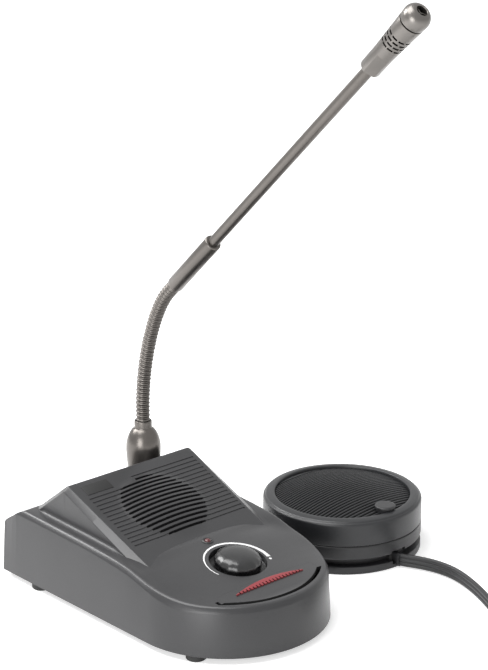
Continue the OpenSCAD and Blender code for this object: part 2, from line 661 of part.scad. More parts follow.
module outer_seal() {
    color("Black") at_puck() difference() {
        translate([0, 0, 18.2]) cylinder(r = 49.3, h = 0.5, $fn = 120);
        translate([0, 0, 18]) cylinder(r = 47.5, h = 1, $fn = 120);
    }
}
module outer_base() {
    color("Black") at_puck() difference() {
        rotate_extrude($fn = 120) polygon([[0, 0], [49.3, 0], [49.8, 0.5], [49.8, 4.5], [49.3, 5],
            [44.5, 5], [44.5, 9.5], [41, 9.5], [41, 2.6], [0, 2.6]]);
        translate([-4.6, -60, 2.6]) cube([9.2, 22, 8]);
        translate([-1.6, -60, 0.6]) cube([3.2, 19.1, 8]);
        for (a = [0:120:240]) rotate([0, 0, a + 30]) translate([30, 0, -1]) cylinder(r = 1.6, h = 9, $fn = 24);
        for (a = [0:120:240]) rotate([0, 0, a + 30]) translate([30, 0, -1]) cylinder(r = 3, h = 2, $fn = 24);
    }
}
module outer_base_screws() {
    color("Silver") at_puck() for (a = [0:120:240]) rotate([0, 0, a + 30]) translate([30, 0, 0]) {
        translate([0, 0, 0.2]) cylinder(r = 2.7, h = 0.8, $fn = 32);
        translate([0, 0, 1]) cylinder(r = 1.2, h = 14, $fn = 24);
    }
}
module outer_speaker_frame() {
    color("Gray") at_puck() translate([0, 4, 0]) union() {
        rotate_extrude($fn = 96) polygon([[9, 20], [15, 20], [27, 26.6], [28.5, 27], [28.5, 29.5],
            [26, 29.5], [26, 28.4], [14, 21.6], [9, 21.6]]);
        for (a = [90, 210, 330]) rotate([0, 0, a]) translate([27.2, -4, 27.2]) cube([10.8, 8, 2]);
    }
}
module outer_speaker_cone() {
    color("Black") at_puck() translate([0, 4, 43.4]) rotate_extrude($fn = 96)
        polygon([[0, -15.6], [7, -17.6], [7, -19.4], [8, -19.4], [22, -14.2], [24, -13.6], [25.9, -14.2],
            [25.9, -13.8], [23.6, -12.9], [21.6, -13.5], [8, -17.6], [7, -16.6], [0, -14.6]]);
}
module outer_speaker_magnet() {
    color("Silver") at_puck() translate([0, 4, 12]) difference() {
        cylinder(r = 14, h = 8, $fn = 64);
        translate([0, 0, 6.5]) cylinder(r = 7.5, h = 3, $fn = 48);
    }
}
module outer_mic_cap() {
    color("Black") at_puck() translate([0, -37.5, 0]) difference() {
        rotate_extrude($fn = 64) polygon([[0, 30.4], [8.4, 30.4], [8.4, 31.3], [6.75, 31.3], [6.75, 38],
            [6.3, 38.7], [5.4, 39], [0, 39]]);
        translate([0, 0, 29]) cylinder(r = 5, h = 8.6, $fn = 48);
        for (x = [-3:2:3]) translate([x - 0.4, -3, 36]) cube([0.8, 6, 5]);
    }
}
module outer_mic_capsule() {
    color("Silver") at_puck() translate([0, -37.5, 31.2]) cylinder(r = 4.95, h = 6, $fn = 48);
}
module outer_cover_screws() {
    color("Silver") at_puck() screw_ring() {
        translate([0, 0, 9.6]) cylinder(r = 2.25, h = 1, $fn = 32);
        translate([0, 0, 10.6]) cylinder(r = 1.1, h = 17, $fn = 24);
    }
}

// ---------- lead ----------
cord_w = 8.4;
cord_t = 2.8;
cord_z = 4.95;
exit_y = puck_y - 44;
coil_c = [160, -142];
coil_r = 55;
coil_pitch = 3.7;
coil_turns = 4.5;
coil_a = 153;
echo("least gap between turns", coil_pitch - cord_t);
run_xy = [[127, -9], [127, -14], [127.6, -19], [130.3, -24.5], [133.3, -31], [135.9, -39], [137, -47],
    [136.9, -54.5], [135.6, -62], [133.4, -69.6], [130.4, -78], [126.7, -86.6], [122.4, -95.4],
    [118, -104.2], [111.25, -116.5]];
coil_xy = [for (a0 = [0:15:360 * coil_turns]) let (a = coil_a + a0, r = coil_r - coil_pitch * a0 / 360)
    [coil_c[0] + r * cos(a), coil_c[1] + r * sin(a)]];
// the free end turns in towards the middle of the coil
in_a = coil_a + 360 * coil_turns;
in_r = 20;
in_turn = 75;
in_c = coil_c + (coil_r - coil_pitch * coil_turns - in_r) * [cos(in_a), sin(in_a)];
in_xy = [for (a = [15:15:in_turn]) in_c + in_r * [cos(in_a + a), sin(in_a + a)]];
coil_end = in_xy[len(in_xy) - 1];
module ribbon(p, sides) {
    n = len(p);
    function dir(k) = let (q = p[min(k + 1, n - 1)] - p[max(k - 1, 0)]) q / norm(q);
    sec = sides == 8
        ? [for (i = [0:7]) [cord_t / 2 * [1, 0.75, 0, -0.75, -1, -0.75, 0, 0.75][i],
            cord_w / 2 * [0, 0.8, 1, 0.8, 0, -0.8, -1, -0.8][i]]]
        : [for (i = [0:5]) [cord_t / 2 * [1, 1, 0, -1, -1, 0][i],
            cord_w / 2 * [-0.82, 0.82, 1, 0.82, -0.82, -1][i]]];
    m = len(sec);
    pts = [for (k = [0:n - 1]) for (q = sec) let (d = dir(k))
        [p[k][0] + d[1] * q[0], p[k][1] - d[0] * q[0], cord_z + q[1]]];
    faces = concat(
        [[for (i = [0:m - 1]) i]],
        [[for (i = [m - 1:-1:0]) (n - 1) * m + i]],
        [for (k = [0:n - 2]) for (i = [0:m - 1]) let (j = (i + 1) % m)
            [k * m + i, (k + 1) * m + i, (k + 1) * m + j]],
        [for (k = [0:n - 2]) for (i = [0:m - 1]) let (j = (i + 1) % m)
            [k * m + i, (k + 1) * m + j, k * m + j]]);
    polyhedron(pts, faces, convexity = 10);
}
module cord_run() {
    color("Black") ribbon(run_xy, 6);
}
module cord_coil() {
    color("Black") ribbon(concat(coil_xy, in_xy), 6);
}
module cord_tie() {
    color("Black") translate([coil_c[0], coil_c[1], 0]) rotate([0, 0, -40]) difference() {
        translate([34, -7, 0.05]) cube([25, 14, 9.8]);
        translate([34.6, -8, 0.65]) cube([23.8, 16, 8.6]);
    }
}
module cord_plug() {
    color("Black") translate([coil_end[0], coil_end[1], cord_z])
        rotate([0, 0, in_a + in_turn + 90]) rotate([0, 90, 0]) {
            translate([0, 0, 0.3]) cylinder(r1 = 3.4, r2 = 4.2, h = 5.5, $fn = 32);
            translate([0, 0, 5.8]) cylinder(r = 4.4, h = 13, $fn = 32);
            translate([0, 0, 18.8]) cylinder(r = 1.75, h = 11, $fn = 32);
        }
}
module cord_gland() {
    color("Black") at_puck() difference() {
        translate([-4.5, -46.4, 2.7]) cube([9, 7, 6.7]);
        translate([-1.6, -47, 0.5]) cube([3.2, 6.1, 9.2]);
    }
}

translate([-frame_x, -frame_y, 0]) {
    housing_top();
    base_plate();
    feet();
    base_screws();
    badge_inlay();
    scale_marks();
    dc_jack();
    outer_unit_socket();
    main_board();
    pot_body();
    pot_shaft();
    knob();
    led();
    led_bezel();
    talk_bar();
    talk_grip_strip();
    talk_hinge_pins();
    talk_switch();
    talk_switch_cap();
    speaker_frame();
    speaker_cone();
    speaker_magnet();
    speaker_screws();
    neck_bell();
    neck_nut();
    gooseneck_lower();
    gooseneck_middle();
    gooseneck_upper();
    ferrule();
    boom_tube();
    head_body();
    head_cap();
    mic_capsule();
    outer_cover();
    outer_grille();
    outer_rear_cover();
    outer_seal();
    outer_base();
    outer_base_screws();
    outer_speaker_frame();
    outer_speaker_cone();
    outer_speaker_magnet();
    outer_mic_cap();
    outer_mic_capsule();
    outer_cover_screws();
    cord_gland();
    cord_run();
    cord_coil();
    cord_tie();
    cord_plug();
}
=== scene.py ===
"""Teller window intercom: desk unit with a gooseneck microphone and an outer unit on a flat lead.

Pieces are drawn in the maker's millimetres, with X right, Y back and Z up from the counter,
about the centre of the desk unit's round front, and moved into the model's metres at the end.
"""
import json
import math

import bmesh
import bpy
from mathutils import Matrix, Vector


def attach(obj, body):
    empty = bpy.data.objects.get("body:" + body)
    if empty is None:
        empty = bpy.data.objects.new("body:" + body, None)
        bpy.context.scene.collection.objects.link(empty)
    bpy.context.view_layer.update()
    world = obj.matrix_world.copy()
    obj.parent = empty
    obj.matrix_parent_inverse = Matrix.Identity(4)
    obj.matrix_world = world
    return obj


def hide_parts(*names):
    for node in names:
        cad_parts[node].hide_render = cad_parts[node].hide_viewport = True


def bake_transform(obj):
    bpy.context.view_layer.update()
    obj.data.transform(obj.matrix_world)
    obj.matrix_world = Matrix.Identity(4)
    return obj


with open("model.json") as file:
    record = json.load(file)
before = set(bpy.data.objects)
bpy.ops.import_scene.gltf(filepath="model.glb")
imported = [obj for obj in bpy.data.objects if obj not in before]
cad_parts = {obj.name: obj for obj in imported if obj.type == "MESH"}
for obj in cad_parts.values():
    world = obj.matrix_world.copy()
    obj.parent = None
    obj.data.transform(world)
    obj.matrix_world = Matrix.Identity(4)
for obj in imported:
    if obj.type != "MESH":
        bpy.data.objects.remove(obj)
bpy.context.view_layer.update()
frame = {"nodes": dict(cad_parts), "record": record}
nodes = frame["nodes"]

ORIGIN = Vector((58.0, 8.8, 0.0))
TO_MODEL = Matrix.Scale(0.001, 4) @ Matrix.Translation(-ORIGIN)


def in_model(x, y, z):
    """A maker's point in the model's metres."""
    return TO_MODEL @ Vector((x, y, z))


# ---------------------------------------------------------------- camera and room

def photo_camera():
    """The photograph's camera: long lens, from the front left, 18 degrees above the counter."""
    turn, rise = math.radians(-42.26), math.radians(18.45)
    back = Vector((math.sin(turn) * math.cos(rise), -math.cos(turn) * math.cos(rise), math.sin(rise)))
    right = Vector((math.cos(turn), math.sin(turn), 0))
    up = back.cross(right)
    data = bpy.data.cameras.new("photo_camera")
    data.sensor_width = 36
    data.lens = 2200 * 36 / 670
    data.clip_start, data.clip_end = 0.05, 20
    camera = bpy.data.objects.new("photo_camera", data)
    place = Matrix((right, up, back)).transposed().to_4x4()
    place.translation = in_model(-782.35, -876.12, 567.1)
    camera.matrix_world = place
    bpy.context.scene.collection.objects.link(camera)
    bpy.context.scene.camera = camera


def soft_light(name, place, target, size, watts):
    """A square soft box that looks at a point, in metres."""
    data = bpy.data.lights.new(name, "AREA")
    data.shape, data.size, data.energy = "SQUARE", size, watts
    lamp = bpy.data.objects.new(name, data)
    lamp.location = place
    lamp.rotation_euler = (Vector(target) - Vector(place)).to_track_quat("-Z", "Y").to_euler()
    bpy.context.scene.collection.objects.link(lamp)


photo_camera()
soft_light("rear_left_box", (-0.42, 0.92, 0.86), (0.0, 0.0, 0.05), 0.55, 11)
soft_light("high_left_box", (-0.36, 0.2, 1.15), (0.0, 0.0, 0.05), 0.8, 13)
soft_light("low_left_box", (-1.25, -0.5, 0.35), (0.0, 0.0, 0.08), 0.7, 10)


# ---------------------------------------------------------------- finishes

class Value:
    """A shader socket that takes part in Python expressions."""

    def __init__(self, finish, socket):
        self.finish, self.socket = finish, socket

    def maths(self, operation, first, second=None):
        ports = {0: first} if second is None else {0: first, 1: second}
        return Value(self.finish, self.finish.node("ShaderNodeMath", {"operation": operation}, ports)[0])

    def __add__(self, other):
        return self.maths("ADD", self, other)

    def __radd__(self, other):
        return self.maths("ADD", other, self)

    def __sub__(self, other):
        return self.maths("SUBTRACT", self, other)

    def __rsub__(self, other):
        return self.maths("SUBTRACT", other, self)

    def __mul__(self, other):
        return self.maths("MULTIPLY", self, other)

    def __rmul__(self, other):
        return self.maths("MULTIPLY", other, self)

    def __gt__(self, other):
        return self.maths("GREATER_THAN", self, other)

    def clamped(self):
        return self.maths("MINIMUM", self.maths("MAXIMUM", self, 0.0), 1.0)

    def between(self, low, high):
        """0 below low, 1 above high, and even in between."""
        return ((self - low) * (1.0 / (high - low))).clamped()


class Finish:
    """A Principled material and the nodes that drive it."""

    def __init__(self, name, colour, roughness, metallic=0.0, coat=0.0):
        self.material = bpy.data.materials.new(name)
        self.material.use_nodes = True
        self.tree = self.material.node_tree
        self.shader = self.tree.nodes["Principled BSDF"]
        self.colour = (*colour, 1.0)
        self.set("Base Color", self.colour)
        self.set("Roughness", roughness)
        self.set("Metallic", metallic)
        self.set("Coat Weight", coat)
        self.material.diffuse_color = self.colour
        self.point = self.node("ShaderNodeTexCoord")["Object"]

    def plug(self, socket, value):
        if isinstance(value, Value):
            value = value.socket
        if isinstance(value, bpy.types.NodeSocket):
            self.tree.links.new(value, socket)
        else:
            socket.default_value = value

    def set(self, name, value):
        self.plug(self.shader.inputs[name], value)

    def node(self, kind, settings=None, ports=None):
        """A node's outputs, after its settings and then its inputs are set."""
        made = self.tree.nodes.new(kind)
        for key, value in (settings or {}).items():
            if key == "stops":
                ramp = made.color_ramp
                while len(ramp.elements) < len(value):
                    ramp.elements.new(0.5)
                for element, (place, colour) in zip(ramp.elements, value):
                    element.position, element.color = place, colour
            else:
                setattr(made, key, value)
        for key, value in (ports or {}).items():
            self.plug(made.inputs[key], value)
        return made.outputs

    def noise(self, scale, detail=3.0, rough=0.5):
        return Value(self, self.node("ShaderNodeTexNoise", None, {
            "Vector": self.point, "Scale": scale, "Detail": detail, "Roughness": rough})["Fac"])

    def grains(self, scale):
        return Value(self, self.node("ShaderNodeTexVoronoi", None, {
            "Vector": self.point, "Scale": scale})["Distance"])

    def blend(self, mask, other, first=None):
        """The base colour with another one where the mask is 1."""
        return self.node("ShaderNodeMix", {"data_type": "RGBA"}, {
            0: mask, 6: first if first is not None else self.colour, 7: (*other, 1.0)})[2]

    def relief(self, height, strength, distance):
        self.set("Normal", self.node("ShaderNodeBump", None, {
            "Strength": strength, "Distance": distance, "Height": height})["Normal"])


def moulded(name, colour, roughness, light, grain=2600.0, strength=0.25):
    """Spark-eroded moulded plastic: fine pitting, and a faint drift of tone and shine."""
    finish = Finish(name, colour, roughness)
    pits = finish.grains(grain)
    drift = finish.noise(18.0, 4.0)
    finish.set("Base Color", finish.blend(drift.between(0.35, 0.8) * 0.5 + pits * 0.2, light))
    finish.set("Roughness", roughness - 0.05 + finish.noise(60.0) * 0.1)
    finish.relief(pits + finish.noise(900.0, 2.0) * 0.6, strength, 0.00008)
    return finish.material


def polished(name, colour, roughness, light):
    """Smooth glossy plastic with handling haze."""
    finish = Finish(name, colour, roughness, coat=0.3)
    haze = finish.noise(140.0, 4.0).between(0.45, 0.75)
    finish.set("Base Color", finish.blend(haze * 0.4, light))
    finish.set("Roughness", roughness + haze * 0.12)
    finish.relief(finish.noise(700.0, 2.0), 0.05, 0.00003)
    return finish.material


def satin_metal(name, colour, roughness, light, metallic=0.75):
    """Satin plated or painted metal with tiny scratches."""
    finish = Finish(name, colour, roughness, metallic)
    fine = finish.noise(1500.0, 3.0)
    drift = finish.noise(35.0, 3.0)
    finish.set("Base Color", finish.blend(drift.between(0.3, 0.8) * 0.4, light))
    finish.set("Roughness", roughness - 0.06 + fine * 0.12)
    finish.relief(fine, 0.12, 0.00004)
    return finish.material


def rubbery(name, colour, roughness, light):
    """Soft black rubber with dust in its pores."""
    finish = Finish(name, colour, roughness)
    dust = finish.noise(260.0, 5.0).between(0.5, 0.85)
    finish.set("Base Color", finish.blend(dust * 0.6, light))
    finish.set("Roughness", roughness + dust * 0.1)
    finish.relief(finish.noise(1800.0, 3.0), 0.3, 0.00006)
    return finish.material


def woven(name, colour, light, pitch=0.0006):
    """Fine woven cloth."""
    finish = Finish(name, colour, 0.85)
    split = finish.node("ShaderNodeSeparateXYZ", None, {0: finish.point})
    wave = Value(finish, split["X"]) * (2 * math.pi / pitch)
    weft = Value(finish, split["Y"]) * (2 * math.pi / pitch)
    weave = wave.maths("SINE", wave) * weft.maths("SINE", weft)
    finish.set("Base Color", finish.blend(weave.between(-0.8, 0.9) * 0.8, light))
    finish.relief(weave, 0.4, 0.0001)
    return finish.material


HOUSING = moulded("housing_plastic", (0.022, 0.022, 0.0235), 0.33, (0.029, 0.029, 0.031))
OUTER = moulded("outer_plastic", (0.008, 0.0085, 0.0095), 0.38, (0.023, 0.024, 0.027))
# BLACK is the black plastic parts, and also painted shade as the lining of the knob's well.
BLACK = moulded("black_plastic_and_painted_shade", (0.012, 0.012, 0.013), 0.42, (0.02, 0.02, 0.022))
GLOSS = polished("gloss_black", (0.003, 0.003, 0.0035), 0.3, (0.012, 0.012, 0.013))
INLAY = moulded("bare_inlay", (0.002, 0.002, 0.002), 0.6, (0.004, 0.004, 0.004))
# DARK is the speaker's black cloth and cone, and also painted shade: on the talk bar's walls under the slot, on the
# grille ribs' lower flanks, on the microphone's front hole and, together with the speaker, on the wedge's slot floors.
DARK = rubbery("black_cloth_and_painted_shade", (0.004, 0.004, 0.004), 0.9, (0.007, 0.007, 0.007))
RUBBER = rubbery("foot_rubber", (0.012, 0.012, 0.012), 0.7, (0.025, 0.025, 0.024))
LEAD = rubbery("lead_jacket", (0.013, 0.013, 0.014), 0.45, (0.022, 0.022, 0.023))
NECK = satin_metal("neck_metal", (0.115, 0.106, 0.098), 0.31, (0.15, 0.138, 0.128), 0.92)
HEAD = satin_metal("head_metal", (0.15, 0.141, 0.132), 0.31, (0.195, 0.183, 0.173), 0.92)
STEEL = satin_metal("bright_steel", (0.55, 0.55, 0.56), 0.3, (0.65, 0.65, 0.66), 1.0)
RED_GRIP = moulded("red_strip", (0.20, 0.018, 0.024), 0.45, (0.27, 0.03, 0.036))
# RED_SHADE is the strip's red, darkened as painted shade for the floors of its notches.
RED_SHADE = moulded("red_notch_painted_shade", (0.05, 0.003, 0.004), 0.6, (0.07, 0.005, 0.006))
WHITE = moulded("white_print", (0.72, 0.72, 0.72), 0.5, (0.8, 0.8, 0.8))
GREEN = polished("board_green", (0.02, 0.13, 0.05), 0.35, (0.03, 0.17, 0.07))
LENS = polished("led_lens", (0.07, 0.004, 0.005), 0.08, (0.11, 0.01, 0.01))
CLOTH = woven("strap_cloth", (0.014, 0.014, 0.015), (0.04, 0.04, 0.042))


# ---------------------------------------------------------------- making pieces

def smooth(table, x):
    """A smooth curve through a table of points, without overshoot."""
    if x <= table[0][0]:
        return table[0][1]
    if x >= table[-1][0]:
        return table[-1][1]
    slopes = [(b[1] - a[1]) / (b[0] - a[0]) for a, b in zip(table, table[1:])]
    k = max(i for i in range(len(slopes)) if table[i][0] <= x)

    def at_point(i):
        if i == 0 or i == len(slopes):
            return slopes[min(i, len(slopes) - 1)]
        s, t = slopes[i - 1], slopes[i]
        return 0.0 if s * t <= 0 else 2 * s * t / (s + t)

    (x0, y0), (x1, y1) = table[k], table[k + 1]
    h, t = x1 - x0, (x - x0) / (x1 - x0)
    return (y0 * (1 + 2 * t) * (1 - t) ** 2 + at_point(k) * h * t * (1 - t) ** 2
            + y1 * t * t * (3 - 2 * t) + at_point(k + 1) * h * t * t * (t - 1))


def finish_piece(name, bm, materials, body, replaces=(), sharp=35.0, turn_out=True):
    """Turns a bmesh in the maker's millimetres into a finished piece."""
    if turn_out:
        bmesh.ops.recalc_face_normals(bm, faces=bm.faces[:])
    bmesh.ops.transform(bm, matrix=TO_MODEL, verts=bm.verts[:])
    mesh = bpy.data.meshes.new(name)
    bm.to_mesh(mesh)
    bm.free()
    piece = bpy.data.objects.new(name, mesh)
    bpy.context.scene.collection.objects.link(piece)
    for material in materials if isinstance(materials, (list, tuple)) else [materials]:
        mesh.materials.append(material)
    mesh.shade_smooth()
    mesh.set_sharp_from_angle(angle=math.radians(sharp))
    if body:
        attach(piece, body)
    if replaces:
        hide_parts(*replaces)
    return piece


def rounded(piece, width, segments=2, angle=40.0):
    """A small machined or moulded radius on a piece's sharp edges."""
    bevel = piece.modifiers.new("edge", "BEVEL")
    bevel.width, bevel.segments = width * 0.001, segments
    bevel.limit_method, bevel.angle_limit = "ANGLE", math.radians(angle)
    bevel.harden_normals = False
    return piece


def polyline(bm, points):
    """An open chain of edges."""
    verts = [bm.verts.new(p) for p in points]
    return verts, [bm.edges.new(pair) for pair in zip(verts, verts[1:])]


def spun(bm, profile, place=Matrix.Identity(4), steps=96):
    """Turns a profile of (radius, height) about Z, then puts it in place."""
    before = set(bm.verts)
    verts, edges = polyline(bm, [(r, 0, z) for r, z in profile])
    bmesh.ops.spin(bm, geom=verts + edges, cent=(0, 0, 0), axis=(0, 0, 1), angle=2 * math.pi,
                   steps=steps, use_merge=True)
    made = [v for v in bm.verts if v not in before]
    bmesh.ops.remove_doubles(bm, verts=made, dist=1e-5)
    made = [v for v in bm.verts if v not in before]
    bmesh.ops.transform(bm, matrix=place, verts=made)
    return made


def block(bm, low, high, place=Matrix.Identity(4), radius=0.0):
    """A box between two corners, with rounded edges."""
    made = bmesh.ops.create_cube(bm, size=1.0)["verts"]
    low, high = Vector(low), Vector(high)
    size = Matrix.Diagonal((*(high - low), 1.0))
    bmesh.ops.transform(bm, matrix=place @ Matrix.Translation((low + high) / 2) @ size, verts=made)
    if radius:
        edges = list({e for v in made for e in v.link_edges})
        bmesh.ops.bevel(bm, geom=edges, offset=radius, segments=3, profile=0.5, affect="EDGES", material=-1)


def swept(bm, rings):
    """A tube through rings of points: each ring is drawn out from the one before."""
    verts = [bm.verts.new(p) for p in rings[0]]
    edges = [bm.edges.new((a, b)) for a, b in zip(verts, verts[1:] + verts[:1])]
    bm.faces.new(verts)
    for ring in rings[1:]:
        drawn = bmesh.ops.extrude_edge_only(bm, edges=edges)["geom"]
        fresh = {v for v in drawn if isinstance(v, bmesh.types.BMVert)}
        step = []
        for v in verts:
            step.append(next(e.other_vert(v) for e in v.link_edges if e.other_vert(v) in fresh))
        verts = step
        edges = [bm.edges.get((a, b)) for a, b in zip(verts, verts[1:] + verts[:1])]
        for v, p in zip(verts, ring):
            v.co = p
    bm.faces.new(verts)


def applied(piece, *cutters, keep="DIFFERENCE"):
    """Cuts a piece with other meshes, which are then removed."""
    for cutter in cutters:
        tool = piece.modifiers.new("cut", "BOOLEAN")
        tool.object, tool.operation, tool.solver = cutter, keep, "EXACT"
    bake_modifiers(piece)
    for cutter in cutters:
        bpy.data.objects.remove(cutter)
    return piece


def bake_modifiers(piece):
    """Makes a piece's modifiers part of its mesh."""
    bpy.context.view_layer.update()
    shape = piece.evaluated_get(bpy.context.evaluated_depsgraph_get())
    mesh = bpy.data.meshes.new_from_object(shape)
    piece.modifiers.clear()
    piece.data = mesh


def cutter(bm):
    """A closed mesh that only cuts others."""
    return finish_piece("cutter", bm, [HOUSING], None)


# ---------------------------------------------------------------- desk unit: shape

HALF, REAR, SKIRT = 61.0, 139.0, 3.6
KNOB_Y, KNOB_SINK = -10.0, 3.2
DECK_TILT = math.atan(0.139)
PLATE_TILT = math.atan(0.4)
EDGE = [(-62, 34.1), (-35, 34.2), (-26, 34.5), (-18, 35.2), (-12, 36), (-4, 37.3), (5, 38.8), (14, 41),
        (22, 42.8), (35, 44.2), (59, 45.6), (95, 46.7), (119, 47.3), (121, 46.9), (124, 45.2),
        (130, 41.4), (136, 37.6), (138, 35.8), (139, 34)]
BAND = [(-62, 30.9), (-37, 30.7), (-23, 30.2), (-10, 32.3), (1, 35), (21, 39.6), (60, 42.8),
        (119, 43.9), (124, 43.9), (130, 40.2), (136, 36.4), (138, 34.6), (139, 33)]
CORNER = 2.5
ROWS = ([("arc", -90 + 1.5 * k) for k in range(60)] + [("side", 2.4 * k) for k in range(49)]
        + [("side", 117.4 + 1.1 * k) for k in range(17)] + [("side", 136.0)]
        + [("corner", 15 * k) for k in range(7)])


def deck_at(y):
    return 41.5 + 0.139 * y


def middle_height(y):
    """Height of the deck on the centre line: a tilted plane that melts into the edge's curve."""
    edge = smooth(EDGE, y)
    if y < -56:
        return edge + 0.1
    if y > 27:
        return edge + 0.2
    if y < -50:
        return edge + 0.1 + (deck_at(y) - edge - 0.1) * (y + 56) / 6
    if y > 21:
        return deck_at(y) + (edge + 0.2 - deck_at(y)) * (y - 21) / 6
    return deck_at(y)


def crowned(y, u):
    """Height of the deck at a share u of its half width, with the dip before the wedge's tips."""
    w = u * u
    dip = 3 * math.exp(-((y - 17) / 8) ** 2) * w * (1 - w ** 3)
    return smooth(EDGE, y) * w + middle_height(y) * (1 - w) - dip


def deck_height(x, y):
    """Height of the deck over a plan point."""
    wide = math.sqrt(max(1.0, 56.0 ** 2 - y * y)) if y < 0 else 56.0
    return crowned(y * HALF / 56.0 if y < 0 else y, min(1.0, abs(x) / wide))


def on_deck(x, y, h=0.0):
    """A frame on the control deck."""
    return (Matrix.Translation((x, y, deck_at(y))) @ Matrix.Rotation(DECK_TILT, 4, "X")
            @ Matrix.Translation((0, 0, h)))


def on_plate(x, v, h=0.0):
    """A frame on the speaker plate: v runs down from the ridge."""
    return (Matrix.Translation((x, 88.4 + v * math.cos(PLATE_TILT), 69.8 + v * math.sin(PLATE_TILT)))
            @ Matrix.Rotation(PLATE_TILT, 4, "X") @ Matrix.Translation((0, 0, h)))


def outline(row, lean, inset=0.0):
    """Half width and depth of one row of the plan outline; the bevel narrows on the rear slope."""
    kind, value = row
    fade = 1 - 0.65 * min(1.0, max(0.0, (value - 119) / 6)) if kind == "side" else 0.35
    d = lean + inset * fade
    rear = REAR - 0.6 * d - CORNER
    if kind == "arc":
        r, turn = HALF - lean - inset, math.radians(value)
        return r * math.cos(turn), r * math.sin(turn)
    if kind == "side":
        return HALF - d, value if value < 100 else 100 + (value - 100) * (rear - 100) / 36.5
    turn = math.radians(value)
    return HALF - d - CORNER * (1 - math.cos(turn)), rear + CORNER * math.sin(turn)





def desk_shell():
    """Top deck as a grid, its border drawn out over the flat bevel and down the walls."""
    bm = bmesh.new()
    columns, rows = 44, len(ROWS) - 1
    bmesh.ops.create_grid(bm, x_segments=columns, y_segments=rows, size=1.0)
    home = {}
    for vert in bm.verts:
        u, k = vert.co.x, round((vert.co.y + 1) / 2 * rows)
        wide, y = outline(ROWS[k], 1.5, 3.5)
        home[vert] = (u, k)
        vert.co = (u * wide, y, crowned(outline(ROWS[k], 0)[1], u))
    border = [e for e in bm.edges if e.is_boundary and not all(home[v][1] == 0 for v in e.verts)]
    steps = [(1.5, 2.2, 0.93), (1.5, 1.4, 0.75), (1.5, 0.12, 0.06), (1.48, 0, -0.05), (0.0, 0, None), (0.4, 0, "under"),
             (2.4, 0, "under")]
    for lean, inset, share in steps:
        drawn = bmesh.ops.extrude_edge_only(bm, edges=border)["geom"]
        after = {}
        for vert in [v for v in drawn if isinstance(v, bmesh.types.BMVert)]:
            old = next(e.other_vert(vert) for e in vert.link_edges if e.other_vert(vert) in home)
            u, k = after[vert] = home[old]
            wide, y = outline(ROWS[k], lean, inset)
            y_out = outline(ROWS[k], 0)[1]
            low, top = smooth(BAND, y_out), smooth(EDGE, y_out)
            z = SKIRT + 0.3 if share is None else SKIRT if share == "under" else low + (top - low) * share
            vert.co = (u * wide, y, z)
        home = after
        border = [e for e in drawn if isinstance(e, bmesh.types.BMEdge) and e.is_boundary
                  and all(v in after for v in e.verts)]
        if share == 0.93:
            bmesh.ops.remove_doubles(bm, verts=[v for v in bm.verts if v not in after], dist=0.01)
    bmesh.ops.remove_doubles(bm, verts=bm.verts[:], dist=0.005)
    bmesh.ops.recalc_face_normals(bm, faces=bm.faces[:])
    bm.normal_update()
    if max(bm.faces, key=lambda f: f.calc_center_median().z).normal.z < 0:
        bmesh.ops.reverse_faces(bm, faces=bm.faces[:])
    return bm


def deck_disc(bm, radius, low, high, y, steps=160):
    """A closed cylinder that stands square to the control deck."""
    made = bmesh.ops.create_cone(bm, cap_ends=True, segments=steps, radius1=radius, radius2=radius,
                                 depth=high - low)["verts"]
    bmesh.ops.transform(bm, matrix=on_deck(0, y, (low + high) / 2), verts=made)


def bar_outline(radius, half, rear, chord, jog=False):
    """A closed upright prism: the round-fronted field of the talk bar with its narrower rear."""
    bm = bmesh.new()
    reach = math.sqrt(radius ** 2 - (chord - 4.5) ** 2)
    first = math.atan2(chord - 4.5, -reach)
    last = math.atan2(chord - 4.5, reach)
    points = [(radius * math.cos(first + (last - first) * k / 120), 4.5 + radius * math.sin(first + (last - first) * k / 120))
              for k in range(121)]
    points += [(half, chord), (half, rear), (-half, rear), (-half, chord)]
    if jog:
        points += [(-38.0, chord), (-38.0, -35.0), (-40.0, -35.0), (-40.0, chord)]
    face = bm.faces.new([bm.verts.new((x, y, 29.0)) for x, y in points])
    top = bmesh.ops.extrude_face_region(bm, geom=[face])["geom"]
    bmesh.ops.translate(bm, vec=(0, 0, 21.0), verts=[v for v in top if isinstance(v, bmesh.types.BMVert)])
    return bm


def softened(piece, chosen, offset, segments=2):
    """Rounds the edges of a piece whose ends pass a test on maker's points."""
    back = TO_MODEL.inverted()
    bm = bmesh.new()
    bm.from_mesh(piece.data)
    bmesh.ops.dissolve_degenerate(bm, dist=1e-6, edges=bm.edges[:])
    edges = [e for e in bm.edges if len(e.link_faces) == 2 and e.calc_face_angle(0) > math.radians(35)
             and all(chosen(back @ v.co) for v in e.verts)]
    bmesh.ops.bevel(bm, geom=edges, offset=offset * 0.001, segments=segments, profile=0.5,
                    affect="EDGES", material=-1, clamp_overlap=True)
    bm.to_mesh(piece.data)
    bm.free()
    piece.data.shade_smooth()
    piece.data.set_sharp_from_angle(angle=math.radians(32))


def solid_shell(name):
    """The desk shell with its wall thickness, ready to be cut."""
    shell = finish_piece(name, desk_shell(), [HOUSING], None, turn_out=False)
    wall = shell.modifiers.new("wall", "SOLIDIFY")
    wall.thickness, wall.offset = 0.0024, -1
    bake_modifiers(shell)
    return shell


def slot_radius(p):
    return math.hypot(p.x, p.y - 4.5)


